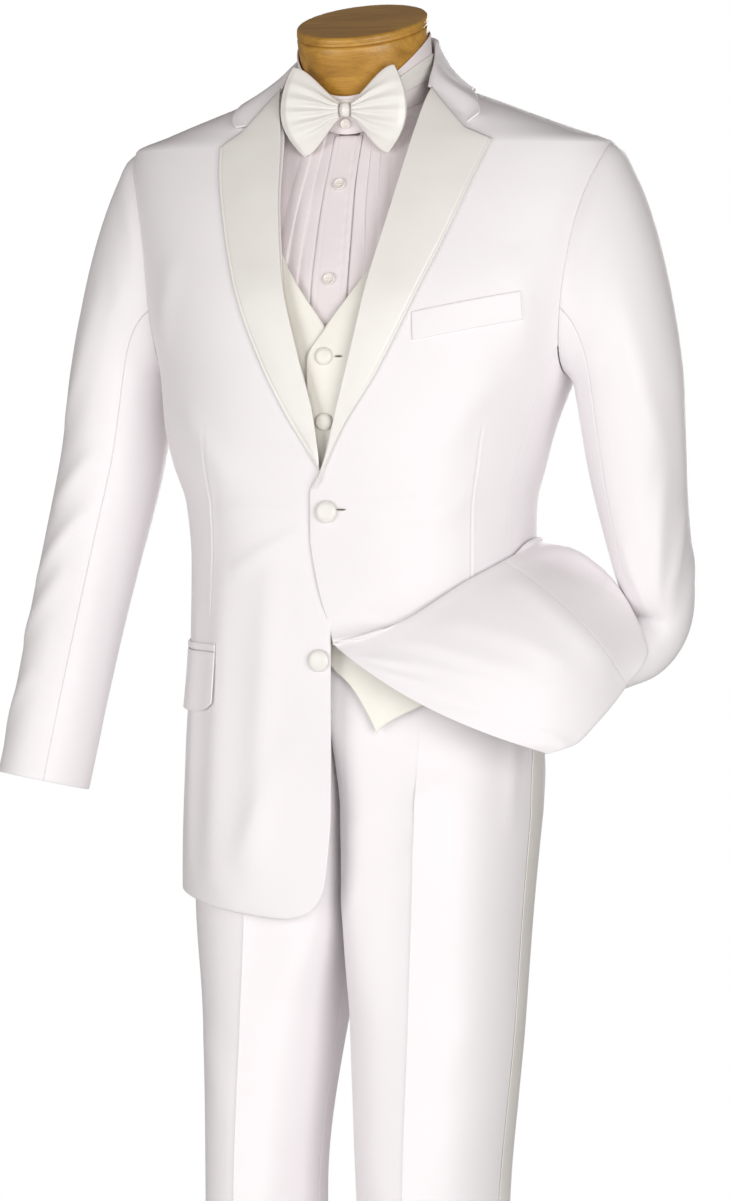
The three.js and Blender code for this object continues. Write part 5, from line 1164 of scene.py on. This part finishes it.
for label, side, sizes in (("right", -1, (66, 54, 41, 43, 42)), ("left", 1, (58, 46, 41, 41, 40))):
    rings = bow_wing(side, *sizes)
    whole = lidded(rings, 0.9)
    piece = join(f"bow_{label}_wing", [(whole, flat_lengths(whole))], white_satin, "white_satin", f"bow_wing_{label}")
angle, v = np.meshgrid(np.linspace(0, 2 * np.pi, 65), np.linspace(-1, 1, 25))
round_off = np.sqrt(1 - 0.5 * v**2) * (1 - 0.12 * np.abs(v) ** 8)
gather = 1 + 0.05 * np.cos(5 * angle) * (1 - 0.4 * v**2)
deep = np.stack([KNOT_X + 4.9 * round_off * gather * np.sin(angle), KNOT_Y - 1 - 6.5 * round_off * gather * np.cos(angle),
                 KNOT_Z + 6.4 * v], -1)
deep[:, -1] = deep[:, 0]
whole = lidded(deep, 0.9)
knot = join("bow_centre_knot", [(whole, flat_lengths(whole))], white_satin, "white_satin", "bow_knot")
turn, rise = np.meshgrid(edged(-174, 174, 120, 1), edged(0, 1, 12, 0.05))
front = (1 + np.cos(np.radians(turn))) / 2
strap = collar_band(turn, mix(mix(0.34, 0.43, front**2), mix(0.69, 0.9, front**2), rise))
lift = 1.8 - 0.45 * np.exp(-(((rise - 0.5) / 0.05) ** 2))
strap = strap + np.stack([np.sin(np.radians(turn)) * lift, -np.cos(np.radians(turn)) * lift, 0 * lift], -1)
sewn("bow_neck_strap", strap, ["shirt_neck_band"], "bow_strap", 1.2, white_satin, "white_satin",
     held="folded")

# The studio: a pale paper floor, two large soft lights beside the camera, one near it and one behind the suit.
# The room is white to the camera and dimmer as light.
FLOOR_RADIUS = 1600
paper, tree, shader = finish("floor paper", Roughness=0.9)
where = node(tree, "TexCoord", {})
speckle = node(tree, "TexNoise", {"Vector": where.outputs["Object"], "Scale": 40.0})
pale = node(
    tree, "Mix", {"Factor": speckle.outputs["Fac"], "A": (0.84, 0.84, 0.85, 1), "B": (0.88, 0.88, 0.88, 1)}, data_type="RGBA"
)
tree.links.new(pale.outputs["Result"], shader.inputs["Base Color"])
mesh = bpy.data.meshes.new("floor")
ring = np.arange(96) * 2 * np.pi / 96
corners = np.stack([FLOOR_RADIUS * np.cos(ring), FLOOR_RADIUS * np.sin(ring), 0 * ring - 0.5], -1) * MM
mesh.from_pydata(corners.tolist(), [], [list(range(96))])
mesh.materials.append(paper)
floor = bpy.data.objects.new("floor", mesh)
bpy.context.collection.objects.link(floor)


def look_at(thing, eye, target):
    """Places a camera or light at eye, turned to target."""
    thing.location = [value * MM for value in eye]
    thing.rotation_euler = (Vector(target) - Vector(eye)).to_track_quat("-Z", "Y").to_euler()
    bpy.context.collection.objects.link(thing)


AZIMUTH, DISTANCE = np.radians(20), 3800
target = np.array([-5.7 * np.cos(AZIMUTH), -5.7 * np.sin(AZIMUTH), 1010])
eye = np.array([target[0] + DISTANCE * np.sin(AZIMUTH), target[1] - DISTANCE * np.cos(AZIMUTH), 1200])
seen = bpy.data.cameras.new("front camera")
seen.lens, seen.sensor_width, seen.clip_end = 119.9, 36, 50
camera = bpy.data.objects.new("front camera", seen)
look_at(camera, eye, target)
bpy.context.scene.camera = camera
for name, turned_by, high, away, size, power in (("key light", 46, 1200, 3600, 2.0, 69),
                                                 ("fill light", -32, 1100, 3600, 2.0, 45),
                                                 ("front light", 12, 1100, 4200, 1.6, 30),
                                                 ("back light", 190, 1700, 3600, 2.0, 84)):
    lamp = bpy.data.lights.new(name, "AREA")
    lamp.shape, lamp.size, lamp.energy = "SQUARE", size, power
    angle = np.radians(turned_by)
    look_at(bpy.data.objects.new(name, lamp), (away * np.sin(angle), -away * np.cos(angle), high), (0, 0, 950))

bpy.context.scene.view_settings.view_transform = "Standard"
world = bpy.data.worlds.new("white room")
bpy.context.scene.world = world
world.use_nodes = True
tree = world.node_tree
rays = node(tree, "LightPath", {})
bright = node(tree, "Background", {"Color": (1, 1, 1, 1), "Strength": 1.0})
ambient = node(tree, "Background", {"Color": (1, 0.92, 0.88, 1), "Strength": 0.2})
chosen = node(tree, "MixShader", {0: rays.outputs["Is Camera Ray"], 1: ambient.outputs[0], 2: bright.outputs[0]})
tree.links.new(chosen.outputs[0], tree.nodes["World Output"].inputs["Surface"])
